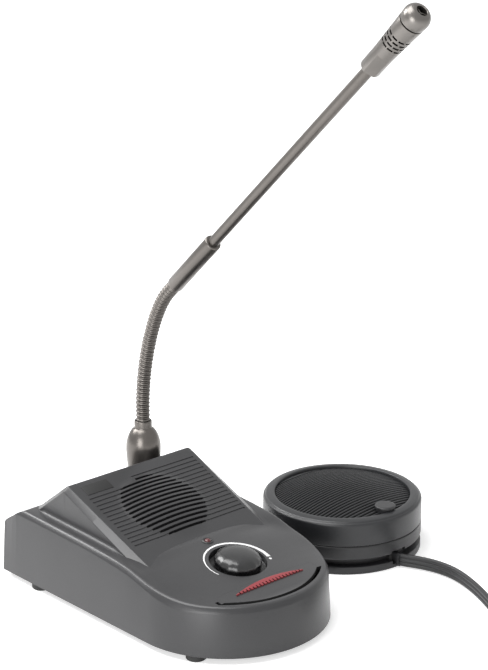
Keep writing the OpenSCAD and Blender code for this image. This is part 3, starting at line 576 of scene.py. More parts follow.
def housing():
    """Desk housing with the knob's well, the lamp's hole and the talk bar's opening."""
    shell = solid_shell("desk_housing")
    recess = bmesh.new()
    deck_disc(recess, 17.2, -4.6, 12, KNOB_Y)
    lamp = bmesh.new()
    deck_disc(lamp, 3.0, -8, 8, 16.5, 64)
    sockets = bmesh.new()
    for x, r in ((-30, 5.6), (-6, 4.6)):
        made = bmesh.ops.create_cone(sockets, cap_ends=True, segments=48, radius1=r, radius2=r, depth=20)["verts"]
        bmesh.ops.transform(sockets, matrix=Matrix.Translation((x, REAR, 16)) @ Matrix.Rotation(math.pi / 2, 4, "X"),
                            verts=made)
    applied(shell, cutter(recess), cutter(lamp), cutter(sockets), cutter(bar_outline(58.5, 36.85, -31.75, -38.5, True)))

    def on_rim(p):
        across = (on_deck(0, KNOB_Y).inverted() @ p)
        in_recess = abs(math.hypot(across.x, across.y) - 17.2) < 0.06 and across.z > -1.2
        in_slot = p.y < -38.0 and abs(slot_radius(p) - 58.5) < 0.06 and p.z > 32.8
        return in_recess or in_slot

    softened(shell, on_rim, 0.4)
    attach(shell, "desk")
    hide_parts("housing_top")
    # The knob's well is lined with a black cup as painted shade; the housing itself is grey.
    bm = bmesh.new()
    spun(bm, [(0, -4.6), (16.4, -4.6), (17.0, -4.4), (17.24, -3.8), (17.24, -1.6), (19.2, -1.6), (19.2, -6.8), (0, -6.8)],
         on_deck(0, KNOB_Y), 96)
    finish_piece("knob_well_painted_shade", bm, [BLACK], "desk", (), 50.0)


def talk_bar():
    """The round-fronted bar that is pressed, cut from the same deck."""
    bar = solid_shell("talk_bar_cover")
    applied(bar, cutter(bar_outline(55.9, 36.8, -31.8, -38.45)), keep="INTERSECT")
    pocket = bmesh.new()
    points = strip_outline(0.1)
    face = pocket.faces.new([pocket.verts.new(on_deck(0, STRIP_Y) @ Vector((x, y, -1.6))) for x, y in points])
    top = bmesh.ops.extrude_face_region(pocket, geom=[face])["geom"]
    bmesh.ops.translate(pocket, vec=(0, 0, 6), verts=[v for v in top if isinstance(v, bmesh.types.BMVert)])
    applied(bar, cutter(pocket))
    softened(bar, lambda p: p.z > 32.0 and p.y < -38.0 and (abs(slot_radius(p) - 55.9) < 0.06), 0.4)
    # The bar's steep front-facing walls, seen through the slot, take the dark finish as painted shade.
    bar.data.materials.append(DARK)
    for face in bar.data.polygons:
        if face.normal.z < 0.35 and face.normal.y < -0.1:
            face.material_index = 1
    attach(bar, "talk_bar")
    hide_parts("talk_bar")


STRIP_Y = -37.2


def strip_edges(x, gap=0.0):
    """Front and rear edge of the lens-shaped strip at a place across."""
    return (438 - math.sqrt((439 + gap) ** 2 - x * x), -90.6 + math.sqrt((94.3 + gap) ** 2 - x * x))


def strip_outline(gap):
    """Points round the lens-shaped strip in the deck's frame."""
    across = [(-25.8 - gap) + (51.6 + 2 * gap) * k / 48 for k in range(49)]
    return ([(x, strip_edges(x, gap)[0]) for x in across] + [(x, strip_edges(x, gap)[1]) for x in reversed(across)])


def ribbed_strip():
    """Red lens-shaped grip strip with fine notches along its front edge."""
    places = [-25.8, -25.5]
    for k in range(19):
        x = -23.04 + 2.56 * k
        places += [x - 1.28, x - 0.62, x - 0.46, x - 0.34, x + 0.34, x + 0.46, x + 0.62]
    places += [24.32, 25.5, 25.8]
    shares = [0.0, 0.06, 0.14, 0.24, 0.34, 0.42, 0.5, 0.7, 0.9, 1.0]
    bm = bmesh.new()
    bmesh.ops.create_grid(bm, x_segments=len(places) - 1, y_segments=len(shares) - 1, size=1.0)
    frame_here = on_deck(0, STRIP_Y)
    for vert in bm.verts:
        i = round((vert.co.x + 1) / 2 * (len(places) - 1))
        j = round((vert.co.y + 1) / 2 * (len(shares) - 1))
        x = places[i]
        front, rear = strip_edges(x)
        y = front + (rear - front) * shares[j]
        p = frame_here @ Vector((x, y, 0))
        sunk = abs((x + 23.04) / 2.56 - round((x + 23.04) / 2.56)) * 2.56 < 0.4 and abs(x) < 24 and y < 0.6
        rim = 0.12 if j in (0, len(shares) - 1) or i in (0, len(places) - 1) else 0.0
        vert.co = (p.x, p.y, deck_height(p.x, p.y) + 0.8 - rim - (0.9 if sunk else 0.0))
    # Faces low in the notches take the darker red as painted shade.
    for face in bm.faces:
        if face.calc_center_median().z < deck_height(*face.calc_center_median().xy) + 0.6:
            face.material_index = 1
    edges = [e for e in bm.edges if e.is_boundary]
    drawn = bmesh.ops.extrude_edge_only(bm, edges=edges)["geom"]
    bmesh.ops.translate(bm, vec=(0, 0, -1.8), verts=[v for v in drawn if isinstance(v, bmesh.types.BMVert)])
    finish_piece("talk_grip", bm, [RED_GRIP, RED_SHADE], "talk_bar", ["talk_grip_strip"])


def wedge_profile():
    """Side view of the speaker wedge: (depth, height, normal) from the front foot over the ridge."""
    a, b = PLATE_TILT, math.atan(0.77)
    points = []
    for v in [-86.0, -84.0, -82.0, -80.0, -78.0, -76.0, -74.0, -72.0, -69.0, -66.0]:
        points.append((v, a, None))
    for k in range(15, -1, -1):
        points += [(-9 - 3.4 * k - 0.75, a, (k, -1)), (-9 - 3.4 * k + 0.75, a, (k, 1))]
    points += [(-6.0, a, None), (-3.0, a, None), (-1.2, a, None)]
    out = []
    for v, lean, groove in points:
        n = Vector((0, -math.sin(a), math.cos(a)))
        out.append((Vector((0, 88.4 + v * math.cos(a), 69.8 + v * math.sin(a))), n, v, groove))
    n1, n2 = out[-1][1], Vector((0, math.sin(b), math.cos(b)))
    top = Vector((0, 88.4, 69.8))
    first, last = out[-1][0], top + Vector((0, math.cos(b), -math.sin(b))) * 1.2
    for t in (0.25, 0.5, 0.75):
        n = n1.lerp(n2, t).normalized()
        p = first * (1 - t) ** 2 + top * 2 * t * (1 - t) + last * t * t
        out.append((p, n, 0.0, None))
    for d in (1.2, 8, 16, 24, 32, 38, 42):
        out.append((top + Vector((0, math.cos(b), -math.sin(b))) * d, n2, d, None))
    return out


SPEAKER = (-1.5, -37.0, 28.6)


def plate_half(y):
    """Half width of the plate, a little narrower towards the front, with rounded corners at the ridge."""
    near = max(0.0, 1 - abs(y - 88.4) / 2.0)
    return 45.2 + 2.2 * min(1.0, max(0.0, (y - 8) / 80.4)) - 0.9 * (1 - math.sqrt(1 - near * near))


def speaker_wedge():
    """Speaker housing: a slotted plate that bulges over the speaker, flat chamfers and a rear slope."""
    rows = wedge_profile()
    inner = [-44.0 + k for k in range(89)]
    count = len(inner) + 2
    bm = bmesh.new()
    bmesh.ops.create_grid(bm, x_segments=count - 1, y_segments=len(rows) - 1, size=1.0)
    spot = {}
    for vert in bm.verts:
        spot[vert] = (round((vert.co.x + 1) / 2 * (count - 1)), round((vert.co.y + 1) / 2 * (len(rows) - 1)))
    cx, cv, cr = SPEAKER
    along = Vector((0, math.cos(PLATE_TILT), math.sin(PLATE_TILT)))

    def across(i, y):
        if i in (0, count - 1):
            return math.copysign(plate_half(y) - 0.25, i - 1)
        return inner[i - 1]

    for vert, (i, j) in spot.items():
        p, n, v, groove = rows[j]
        x = across(i, p.y)
        near = math.hypot(x - cx, v - cv) / cr
        rise = 3.0 * (1 - near * near) if near < 1 and v < -3 else 0.0
        widen = groove[1] * (-0.15 + (0.3 if near < 0.92 else 0.0)) if groove else 0.0
        vert.co = Vector((x, 0, 0)) + p + along * widen + n * rise
    slots = []
    for face in bm.faces:
        js = {spot[v][1] for v in face.verts}
        xs = [v.co.x for v in face.verts]
        low, high = min(js), max(js)
        groove = rows[low][3]
        if groove and groove[1] == -1 and rows[high][3] == (groove[0], 1):
            start = -5.6 if groove[0] < 2 else -42.5
            if min(xs) > start and max(xs) < 44.2:
                slots.append(face)
    drawn = bmesh.ops.extrude_face_region(bm, geom=slots)["geom"]
    for vert in drawn:
        if isinstance(vert, bmesh.types.BMVert):
            local = on_plate(0, 0).inverted() @ vert.co
            near = math.hypot(local.x - cx, local.y - cv) / cr
            n = Vector((0, -math.sin(PLATE_TILT), math.cos(PLATE_TILT)))
            vert.co -= n * (3.6 if near < 0.92 else 0.38)
    bmesh.ops.delete(bm, geom=slots, context="FACES")
    # The floors of the through-slots over the speaker take the dark finish: the black speaker behind them, with painted
    # shade in the slots.
    for face in bm.faces:
        middle = on_plate(0, 0).inverted() @ face.calc_center_median()
        near = math.hypot(middle.x - cx, middle.y - cv) / cr
        rise = 3.0 * (1 - near * near) if near < 1 else 0.0
        if near < 0.92 and middle.z < rise - 2.5 and middle.y < -3:
            face.material_index = 1
    # crisp chamfers straight down from the plate's edge, upright walls and a small fillet at their foot
    ends = [e for e in bm.edges if e.is_boundary and (all(v in spot and spot[v][0] == 0 for v in e.verts)
                                                      or all(v in spot and spot[v][0] == count - 1 for v in e.verts))]
    home = {v: (v.co.copy(), math.copysign(1, v.co.x)) for e in ends for v in e.verts}
    for step in range(10):
        drawn = bmesh.ops.extrude_edge_only(bm, edges=ends)["geom"]
        after = {}
        for vert in [v for v in drawn if isinstance(v, bmesh.types.BMVert)]:
            old = next(e.other_vert(vert) for e in vert.link_edges if e.other_vert(vert) in home)
            start, side = after[vert] = home[old]
            half = plate_half(start.y)
            foot = deck_height(51.5, start.y)
            room = max(0.0, min(2.0, (start.z - 3.3 - foot) * 0.9))
            x, z = [(half - 0.02, start.z - 0.06), (half + 0.14, start.z - 0.2), (50.28, start.z - 2.85),
                    (50.44, start.z - 3.05), (50.5, start.z - 3.3), (50.5, foot + room), (50.5 + 0.13 * room, foot + 0.5 * room),
                    (50.5 + 0.5 * room, foot + 0.13 * room), (50.5 + room, foot - 0.02), (50.5 + room, foot - 1.2)][step]
            vert.co = Vector((side * x, start.y, min(z, start.z)))
        home = after
        ends = [e for e in drawn if isinstance(e, bmesh.types.BMEdge) and e.is_boundary
                and all(v in after for v in e.verts)]
    finish_piece("speaker_wedge", bm, [HOUSING, DARK], "desk", ["housing_top"], 14.0)


def badge():
    """Bare gloss inlay in its shallow recess."""
    bm = bmesh.new()
    block(bm, (-9.8, -4.1, -0.6), (9.8, 4.1, 0.3), on_plate(-31, -8.2), 0.25)
    finish_piece("badge_plate", bm, [INLAY], "desk", ["badge_inlay"])


def volume_scale():
    """White arc that thickens clockwise round the knob, and its end dot."""
    bm = bmesh.new()
    inner, outer = [], []
    for k in range(71):
        a = 194 - 3 * k
        share = (194 - a) / 210
        near, wide = 19.75 - 1.0 * share, 0.35 + 2.1 * share
        c, s = math.cos(math.radians(a)), math.sin(math.radians(a))
        inner.append(bm.verts.new((near * c, near * s, 0)))
        outer.append(bm.verts.new(((near + wide) * c, (near + wide) * s, 0)))
    for line in (inner, outer):
        for p, q in zip(line, line[1:]):
            bm.edges.new((p, q))
    bmesh.ops.bridge_loops(bm, edges=bm.edges[:])
    dot = bmesh.ops.create_circle(bm, cap_ends=True, radius=0.9, segments=32)["verts"]
    bmesh.ops.translate(bm, vec=(20 * math.cos(math.radians(-23)), 20 * math.sin(math.radians(-23)), 0), verts=dot)
    bmesh.ops.transform(bm, matrix=on_deck(0, KNOB_Y), verts=bm.verts[:])
    for vert in bm.verts:
        vert.co.z = deck_height(vert.co.x, vert.co.y) + 0.06
    bmesh.ops.solidify(bm, geom=bm.faces[:], thickness=0.3)
    finish_piece("volume_scale", bm, [WHITE], "desk", ["scale_marks"])


def volume_knob():
    """Low glossy dome with fifteen broad shallow scallops, sunk in its well."""
    bm = bmesh.new()
    profile = [(0, 0.2), (13.2, 0.2), (13.8, 0.4), (14.0, 0.9), (14.0, 2.6), (13.95, 3.4), (13.75, 4.3),
               (13.3, 5.2), (12.6, 6.1), (11.6, 6.95), (10.3, 7.6), (8.6, 8.15), (6.5, 8.6), (4, 8.87), (2, 8.97), (0, 9)]
    spun(bm, profile, steps=240)
    for vert in bm.verts:
        r = math.hypot(vert.co.x, vert.co.y)
        if r > 9:
            turn = math.atan2(vert.co.y, vert.co.x)
            scallop = 0.5 + 0.5 * math.cos(turn * 15)
            cut = 1.0 - 0.022 * scallop * min(1.0, (r - 9) / 4)
            vert.co.x *= cut
            vert.co.y *= cut
    bmesh.ops.transform(bm, matrix=on_deck(0, KNOB_Y, -KNOB_SINK), verts=bm.verts[:])
    finish_piece("volume_knob", bm, [GLOSS], "knob", ["knob"], 60.0)


def status_lamp():
    """Small red lens in a black collar."""
    bm = bmesh.new()
    spun(bm, [(0, 1.35), (0.7, 1.28), (1.3, 1.05), (1.75, 0.7), (2.0, 0.2), (2.0, -5.8), (0, -5.8)], on_deck(0, 16.5), 48)
    finish_piece("lamp_lens", bm, [LENS], "desk", ["led"])
    bm = bmesh.new()
    spun(bm, [(2.0, -4), (2.02, 0.1), (2.3, 0.45), (3.0, 0.6), (3.3, 0.45), (3.5, 0.1), (3.0, -0.1), (3.0, -4), (2.0, -4)],
         on_deck(0, 16.5), 48)
    finish_piece("lamp_collar", bm, [BLACK], "desk", ["led_bezel"])


# ---------------------------------------------------------------- gooseneck microphone

NECK_X = 28.0
LEAN = [(-6, 0), (8.8, 0), (14, 3.2), (26, 7.5), (38.2, 11.8), (50.6, 16.2), (63.3, 20.7), (76.5, 27),
        (86, 34.5), (92, 42), (94.6, 45.8), (112, 45.8)]


def straight(table, x):
    """A table read with straight lines between its points."""
    for (x0, y0), (x1, y1) in zip(table, table[1:]):
        if x <= x1:
            return y0 + (y1 - y0) * max(0.0, (x - x0) / (x1 - x0))
    return table[-1][1]


def neck_line():
    """Centreline of the gooseneck as (distance, depth, height)."""
    s, y, z, line = -6.0, 108.5, 80.9, [(-6.0, 108.5, 80.9)]
    while s < 110:
        lean = math.radians(straight(LEAN, s + 0.25))
        s, y, z = s + 0.5, y - 0.5 * math.sin(lean), z + 0.5 * math.cos(lean)
        line.append((s, y, z))
    return line


NECK_LINE = neck_line()


def neck_at(s):
    return Vector((NECK_X, straight([(a, y) for a, y, z in NECK_LINE], s),
                   straight([(a, z) for a, y, z in NECK_LINE], s)))


def neck_frame(s):
    return Matrix.Translation(neck_at(s)) @ Matrix.Rotation(math.radians(straight(LEAN, s)), 4, "X")


NECK_END = 103.2
BOOM = neck_frame(NECK_END)


def gooseneck(name, start, end, replaced):
    """Half of the gooseneck: a close round winding, seen as rounded ribs."""
    bm = bmesh.new()
    pitch, rings = 2.75, []
    shape = [(0.0, 3.8), (0.05, 4.1), (0.15, 4.32), (0.3, 4.4), (0.45, 4.32), (0.55, 4.1), (0.6, 3.85),
             (0.66, 4.0), (0.8, 4.12), (0.94, 4.0)]
    count = round((end - start) / pitch)
    for k in range(count):
        for t, r in shape:
            frame_here = neck_frame(start + (end - start) * (k + t) / count)
            rings.append([frame_here @ Vector((r * math.cos(a), r * math.sin(a), 0))
                          for a in [math.tau * i / 32 for i in range(32)]])
    frame_here = neck_frame(end)
    rings.append([frame_here @ Vector((3.85 * math.cos(a), 3.85 * math.sin(a), 0))
                  for a in [math.tau * i / 32 for i in range(32)]])
    swept(bm, rings)
    piece = finish_piece(name, bm, [NECK], None, replaced, 70.0)
    in_model(*neck_at(start))
    in_model(*neck_at(end))
    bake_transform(piece)


def bell():
    """Turned foot of the gooseneck: drum, flowing shoulder and collar."""
    bm = bmesh.new()
    profile = [(0, 53.6), (9.5, 53.6), (9.9, 54.0), (10.3, 59.5), (10.65, 63.5), (10.85, 67.3), (10.85, 69.8), (10.7, 72.0),
               (10.3, 74.2), (9.7, 76.1), (9.1, 77.6), (8.3, 79.2), (7.4, 80.5), (6.5, 81.5), (5.9, 82.0), (5.6, 82.3),
               (5.5, 83.0), (5.5, 86.2), (5.4, 86.6), (5.1, 86.9), (4.7, 86.9), (4.6, 86.2), (4.6, 84.5), (0, 84.5)]
    spun(bm, profile, Matrix.Translation((NECK_X, 108.5, 0)), 96)
    finish_piece("neck_foot", bm, [NECK], "desk", ["neck_bell"], 50.0)
    seat = bmesh.new()
    spun(seat, [(0, 38.0), (12.0, 38.0), (12.0, 53.4), (11.9, 53.7), (11.6, 53.8), (0, 53.8)],
         Matrix.Translation((NECK_X, 108.5, 0)), 96)
    finish_piece("neck_seat", seat, [HOUSING], "desk", ["housing_top"])


FERRULE, TUBE = 48.0, 173.0
HEAD_AT = FERRULE + TUBE
MIC_TURN = 0.12


def boom():
    """Ferrule and straight tube."""
    bm = bmesh.new()
    spun(bm, [(4.0, 0.05), (4.6, 0), (5.0, 0.15), (5.1, 0.5), (5.1, FERRULE - 0.9), (5.0, FERRULE - 0.4),
              (4.6, FERRULE), (3.4, FERRULE), (3.4, FERRULE - 2), (4.0, FERRULE - 3), (4.0, 0.05)], BOOM, 64)
    finish_piece("boom_ferrule", bm, [NECK], "boom", ["ferrule"], 50.0)
    bm = bmesh.new()
    spun(bm, [(3.38, FERRULE - 11), (3.38, HEAD_AT + 5), (2.6, HEAD_AT + 5), (2.6, FERRULE - 11), (3.38, FERRULE - 11)], BOOM, 64)
    finish_piece("boom_pipe", bm, [NECK], "boom", ["boom_tube"], 50.0)


def microphone():
    """Head with wrench flats, four rings of short vents, a fine groove and a domed cap."""
    place = BOOM @ Matrix.Translation((0, 0, HEAD_AT))
    bm = bmesh.new()
    spun(bm, [(3.4, 0.3), (5.3, 0), (5.8, 0.2), (6.0, 0.6), (6.1, 14), (6.45, 21), (6.8, 28), (7.2, 35), (7.45, 40.0),
              (7.4, 40.4), (6.9, 40.5), (5.4, 40.5), (5.2, 40.3), (5.2, 17), (3.4, 16), (3.4, 0.3)], place, 128)
    body = finish_piece("mic_barrel", bm, [HEAD, BLACK], None, (), 40.0)
    cuts = bmesh.new()
    for side in (0.0, 0.5):
        block(cuts, (5.0, -7, -1), (9, 7, 14.5), place @ Matrix.Rotation(math.tau * (side + MIC_TURN), 4, "Z"))
    for k in range(4):
        for turn in range(10):
            spin = Matrix.Rotation(math.tau * (turn + 0.5 * (k % 2)) / 10, 4, "Z")
            block(cuts, (5.0, -1.65, 22.0 + 2.7 * k), (9.5, 1.65, 23.2 + 2.7 * k), place @ spin)
    applied(body, cutter(cuts))
    body.data.shade_smooth()
    body.data.set_sharp_from_angle(angle=math.radians(35))
    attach(body, "boom")
    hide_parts("head_body")
    bm = bmesh.new()
    spun(bm, [(5.15, 38), (5.15, 41.1), (7.2, 41.1), (7.45, 41.25), (7.55, 41.6), (7.75, 44.6), (7.7, 45.6), (7.45, 46.7), (7.0, 47.7),
              (6.3, 48.7), (5.4, 49.5), (4.4, 50.05), (3.6, 50.3), (3.3, 50.35), (3.15, 50.2), (3.1, 49.8), (3.1, 46.4), (0, 46.4),
              (0, 45.8), (4.4, 45.8), (4.4, 38), (5.15, 38)], place, 128)
    for turn in (90, 210, 330):
        block(bm, (0, -0.28, 47.6), (3.2, 0.28, 48.6), place @ Matrix.Rotation(math.radians(turn), 4, "Z"), 0.1)
    cap = finish_piece("mic_cap", bm, [HEAD, DARK], "boom", ["head_cap"], 45.0)
    # The floor of the front hole takes the dark finish as painted shade in place of the hole's depth.
    middle = TO_MODEL @ place @ Vector((0, 0, 46.4))
    for face in cap.data.polygons:
        if (face.center - middle).length < 0.0035 and abs((face.center - middle).dot((TO_MODEL @ place).to_3x3().col[2].normalized())) < 0.0002:
            face.material_index = 1


# ---------------------------------------------------------------- outer unit

PUCK = Vector((127.0, 32.5, 0.0))
AT_PUCK = Matrix.Translation(PUCK)


def dome_height(x, y):
    return 38.6 - 179 + math.sqrt(179 * 179 - x * x - y * y)


def outer_cover():
    """Round cover with a soft rim; the plain segment at its far side is drawn with the grille."""
    bm = bmesh.new()
    profile = [(42.6, 32), (42.6, 34.7), (42.8, 35.0), (43.2, 35.2), (44.0, 35.3), (45.2, 35.15), (46.6, 34.9),
               (47.7, 34.65), (48.2, 34.4), (48.5, 33.95), (48.7, 33.7), (49.0, 33.6), (49.3, 33.4), (49.65, 33.0),
               (49.9, 32.5), (50, 31.8), (50, 19.4), (49.9, 19.0), (49.6, 18.8), (47.4, 18.7), (47.4, 31.4), (44.5, 32),
               (42.6, 32)]
    spun(bm, profile, AT_PUCK, 160)
    finish_piece("outer_shell", bm, [OUTER], "desk", ["outer_cover"], 50.0)


def outer_grille():
    """Close parallel ribs on a shallow dome, with the speaker's black cloth between them and painted shade on the ribs'
    lower flanks.
    """
    pitch, depth = 2.4, 2.6
    profile = [(-0.62, -depth), (-0.6, -0.7), (-0.5, -0.3), (-0.3, -0.05), (-0.12, 0.0), (0.12, 0.0), (0.3, -0.05),
               (0.5, -0.3), (0.6, -0.7), (0.62, -depth)]
    rows = []
    y = -40.8
    while y < 37.9:
        rows += [(y + a, b) for a, b in profile]
        y += pitch
    rows += [(38.3, -depth), (38.3, -0.3), (38.6, 0.0), (40.2, 0.0), (41.6, 0.0)]
    bm = bmesh.new()
    columns = 48
    bmesh.ops.create_grid(bm, x_segments=columns, y_segments=len(rows) - 1, size=1.0)
    for vert in bm.verts:
        i = round((vert.co.y + 1) / 2 * (len(rows) - 1))
        y, sunk = rows[i]
        wide = math.sqrt(42.5 ** 2 - y * y)
        x = vert.co.x * wide
        vert.co = PUCK + Vector((x, y, dome_height(x, y) + sunk))
    # Faces deeper than 0.6 take the dark finish: the cloth floor between the ribs, and the ribs' lower flanks as
    # painted shade.
    for face in bm.faces:
        if face.calc_center_median().z < dome_height(*(face.calc_center_median() - PUCK).xy) - 0.6:
            face.material_index = 1
    finish_piece("outer_ribs", bm, [OUTER, DARK], "desk", ["outer_grille"], 40.0)


def outer_mic():
    """Raised round microphone cap at the near edge of the grille."""
    bm = bmesh.new()
    place = Matrix.Translation(PUCK + Vector((0, -37.5, 0)))
    spun(bm, [(0, 30.4), (8.4, 30.4), (8.4, 31.3), (5.8, 31.3), (5.8, 35.9), (6.45, 36.2), (6.5, 36.9), (6.3, 37.35),
              (5.9, 37.6), (5.2, 37.7), (4.6, 37.7), (0, 37.7)], place, 72)
    finish_piece("outer_mic_button", bm, [BLACK], "desk", ["outer_mic_cap"], 50.0)


def outer_rear():
    """Rear cover, its seal line, the shadow gap and the base flange."""
    bm = bmesh.new()
    spun(bm, [(0, 9.5), (48.9, 9.5), (49.6, 9.8), (49.95, 10.4), (50, 11), (50, 17.4), (49.9, 17.9), (49.6, 18.2), (47.4, 18.2), (47.4, 11.9), (0, 11.9)],
         AT_PUCK, 160)
    rear = finish_piece("outer_rear", bm, [BLACK], None, (), 50.0)
    notch = bmesh.new()
    block(notch, (-6, -54, 6), (6, -45.6, 11.6), AT_PUCK)
    applied(rear, cutter(notch))
    rear.data.shade_smooth()
    rear.data.set_sharp_from_angle(angle=math.radians(40))
    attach(rear, "desk")
    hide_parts("outer_rear_cover")
    bm = bmesh.new()
    spun(bm, [(0, 0.0), (49.0, 0.0), (49.6, 0.2), (49.8, 0.8), (49.8, 4.2), (49.6, 4.8), (49.0, 5.0), (44.5, 5.0), (44.5, 9.5), (41, 9.5), (41, 2.6), (0, 2.6)],
         AT_PUCK, 160)
    base = finish_piece("outer_foot", bm, [BLACK], None, (), 50.0)
    notch = bmesh.new()
    block(notch, (-4.6, -56, 2.6), (4.6, -38, 11), AT_PUCK)
    applied(base, cutter(notch))
    base.data.shade_smooth()
    base.data.set_sharp_from_angle(angle=math.radians(40))
    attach(base, "desk")
    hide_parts("outer_base")


# ---------------------------------------------------------------- lead

RUN = [(127, -9), (127, -14), (127.6, -19), (130.3, -24.5), (133.3, -31), (135.9, -39), (137, -47), (136.9, -54.5),
       (135.6, -62), (133.4, -69.6), (130.4, -78), (126.7, -86.6), (122.4, -95.4), (118, -104.2), (111.25, -116.5)]
COIL = Vector((160.0, -142.0, 0.0))
COIL_RADIUS, COIL_PITCH, COIL_TURNS, COIL_START = 55.0, 3.7, 4.5, 153.0
INWARDS, INWARD_TURN = 20.0, 75.0
LEAD_Z = 4.95


def polar(radius, degrees):
    turn = math.radians(degrees)
    return Vector((radius * math.cos(turn), radius * math.sin(turn), 0))


def softened_route(points, times=2):
    """The same route with its corners cut."""
    for _ in range(times):
        fresh = [points[0]]
        for a, b in zip(points, points[1:]):
            fresh += [a.lerp(b, 0.25), a.lerp(b, 0.75)]
        points = fresh + [points[-1]]
    return points


def lead_route():
    """Centreline of the flat lead: the seen run, the coil outside the view and its free end turned inwards."""
    route = softened_route([Vector((x, y, 0)) for x, y in RUN])
    count = round(COIL_TURNS * 48)
    for k in range(1, count + 1):
        a = 360 * COIL_TURNS * k / count
        route.append(COIL + polar(COIL_RADIUS - COIL_PITCH * a / 360, COIL_START + a))
    last = COIL_START + 360 * COIL_TURNS
    middle = COIL + polar(COIL_RADIUS - COIL_PITCH * COIL_TURNS - INWARDS, last)
    route += [middle + polar(INWARDS, last + INWARD_TURN * k / 10) for k in range(1, 11)]
    return [p + Vector((0, 0, LEAD_Z)) for p in route]


def lead_section():
    """Three round cores side by side in one jacket, on edge: (across, height) points."""
    side = []
    for k in (-1, 0, 1):
        side += [(1.4 * math.cos(math.radians(a)), k * 2.75 + 1.45 * math.sin(math.radians(a))) for a in range(-60, 61, 20)]
    return side + [(0.0, 4.2)] + [(-a, b) for a, b in reversed(side)] + [(0.0, -4.2)]


def flat_lead():
    """Flat lead with its strain relief at the outer unit, the tied coil and the plug."""
    route = lead_route()
    rings = []
    for k, p in enumerate(route):
        ahead = route[min(k + 1, len(route) - 1)] - route[max(k - 1, 0)]
        side = Vector((ahead.y, -ahead.x, 0)).normalized()
        rings.append([p + side * a + Vector((0, 0, b)) for a, b in lead_section()])
    bm = bmesh.new()
    swept(bm, rings)
    lead = finish_piece("flat_lead", bm, [LEAD], "desk", ["cord_run", "cord_coil"], 60.0)
    bm = bmesh.new()
    relief = [(0.5, 2.5, 4.0), (5.0, 2.4, 4.0), (8.0, 2.1, 4.25), (11.0, 1.8, 4.35), (12.0, 1.5, 4.3)]
    rings = []
    for out, wide, high in relief:
        rings.append([Vector((127 + wide * math.copysign(abs(math.cos(a)) ** 0.5, math.cos(a)), -6.9 - out,
                              5.4 + (LEAD_Z - 5.4) * out / 14 + high * math.copysign(abs(math.sin(a)) ** 0.5, math.sin(a))))
                      for a in [math.tau * (k + 0.5) / 32 for k in range(32)]])
    swept(bm, rings)
    gland = finish_piece("lead_relief", bm, [BLACK], "desk", (), 50.0)
    turn = math.radians(COIL_START + 360 * COIL_TURNS + INWARD_TURN + 90)
    place = Matrix.Translation(route[-1]) @ Matrix.Rotation(turn, 4, "Z") @ Matrix.Rotation(math.pi / 2, 4, "Y")
    bm = bmesh.new()
    spun(bm, [(0, -0.2), (3.2, -0.2), (3.4, 0.2), (4.0, 5.0), (4.3, 5.9), (4.4, 7), (4.4, 17.6), (4.2, 18.4), (3.6, 18.8),
              (0, 18.8)], place, 40)
    handle = finish_piece("plug_handle", bm, [BLACK], "desk", ["cord_plug"], 50.0)
    bm = bmesh.new()
    spun(bm, [(0, 18.6), (1.75, 18.6), (1.75, 22), (1.55, 22.2), (1.75, 22.4), (1.75, 25), (1.55, 25.2), (1.75, 25.4),
              (1.75, 28.2), (1.2, 29.3), (0, 29.8)], place, 32)
    pin = finish_piece("plug_pin", bm, [STEEL], "desk", (), 50.0)
    bm = bmesh.new()
    strap = Matrix.Translation(COIL) @ Matrix.Rotation(math.radians(-40), 4, "Z")
    for low, high in (((34.0, 0.05), (59.0, 0.6)), ((34.0, 9.25), (59.0, 9.8)), ((34.0, 0.05), (34.6, 9.8)), ((58.4, 0.05), (59.0, 9.8))):
        block(bm, (low[0], -7, low[1]), (high[0], 7, high[1]), strap, 0.2)
    tie = finish_piece("coil_strap", bm, [CLOTH], "desk", ["cord_tie"], 50.0)


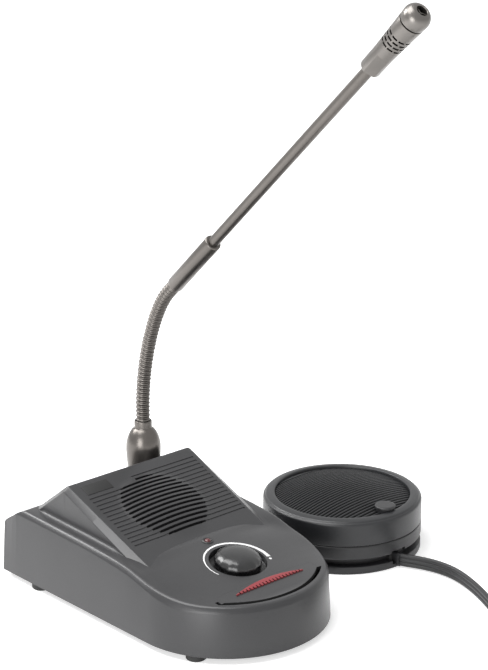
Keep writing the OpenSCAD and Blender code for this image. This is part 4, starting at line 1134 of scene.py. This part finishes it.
def counter():
    """Plain pale floor that the camera sees as white."""
    bm = bmesh.new()
    bmesh.ops.create_grid(bm, x_segments=4, y_segments=4, size=6000)
    bmesh.ops.translate(bm, vec=(0, 0, -0.02), verts=bm.verts[:])
    floor = finish_piece("counter_top", bm, [], None, turn_out=False)
    pale = Finish("pale_counter", (0.84, 0.84, 0.84), 0.7)
    cloud = pale.noise(6.0, 2.0)
    pale.set("Base Color", pale.blend(cloud * 0.3, (0.88, 0.88, 0.88)))
    ray = pale.node("ShaderNodeLightPath")
    seen = Value(pale, ray["Is Camera Ray"]) + Value(pale, ray["Is Glossy Ray"]) + Value(pale, ray["Is Transmission Ray"])
    away = Value(pale, pale.node("ShaderNodeVectorMath", {"operation": "LENGTH"}, {0: pale.point})["Value"])
    glow = (away.between(0.12, 0.6) * 0.45 + 0.55) * seen.clamped()
    pale.set("Emission Color", pale.node("ShaderNodeCombineColor", None, {0: glow, 1: glow, 2: glow})[0])
    pale.set("Emission Strength", 1.0)
    floor.data.materials.append(pale.material)
    world = bpy.data.worlds.new("studio")
    world.use_nodes = True
    bpy.context.scene.world = world
    tree = world.node_tree
    back = tree.nodes["Background"]
    back.inputs["Color"].default_value = (1, 1, 1, 1)
    path = tree.nodes.new("ShaderNodeLightPath")
    level = path.outputs["Is Camera Ray"]
    for kind in ("Is Glossy Ray", "Is Transmission Ray"):
        either = tree.nodes.new("ShaderNodeMath")
        either.operation = "MAXIMUM"
        tree.links.new(level, either.inputs[0])
        tree.links.new(path.outputs[kind], either.inputs[1])
        level = either.outputs[0]
    strength = tree.nodes.new("ShaderNodeMapRange")
    strength.inputs["To Min"].default_value = 0.4
    tree.links.new(level, strength.inputs["Value"])
    tree.links.new(strength.outputs["Result"], back.inputs["Strength"])


flat_lead()
counter()
housing()
talk_bar()
ribbed_strip()
speaker_wedge()
badge()
volume_scale()
volume_knob()
status_lamp()
bell()
gooseneck("gooseneck_low", -3.0, 51.6, ["gooseneck_lower"])
gooseneck("gooseneck_high", 51.6, NECK_END + 3, ["gooseneck_middle", "gooseneck_upper"])
boom()
microphone()
outer_cover()
outer_grille()
outer_mic()
outer_rear()

NODE_FINISH = {
    "housing_grey": HOUSING, "base_black": BLACK, "foot_rubber": RUBBER, "screw_steel": STEEL, "badge_black": GLOSS,
    "mark_white": WHITE, "socket_black": BLACK, "board_green": GREEN, "part_steel": STEEL, "knob_black": GLOSS,
    "led_red": LENS, "strip_red": RED_GRIP, "cap_white": WHITE, "cone_black": DARK, "neck_metal": NECK,
    "head_metal": HEAD, "outer_grey": OUTER, "outer_black": BLACK, "cord_rubber": LEAD, "tie_fabric": CLOTH}
for part in frame["record"]["subparts"]:
    mesh = nodes[part["node"]].data
    mesh.materials.clear()
    mesh.materials.append(NODE_FINISH[part["material_slot"]])

bpy.context.scene.view_settings.view_transform = "Standard"
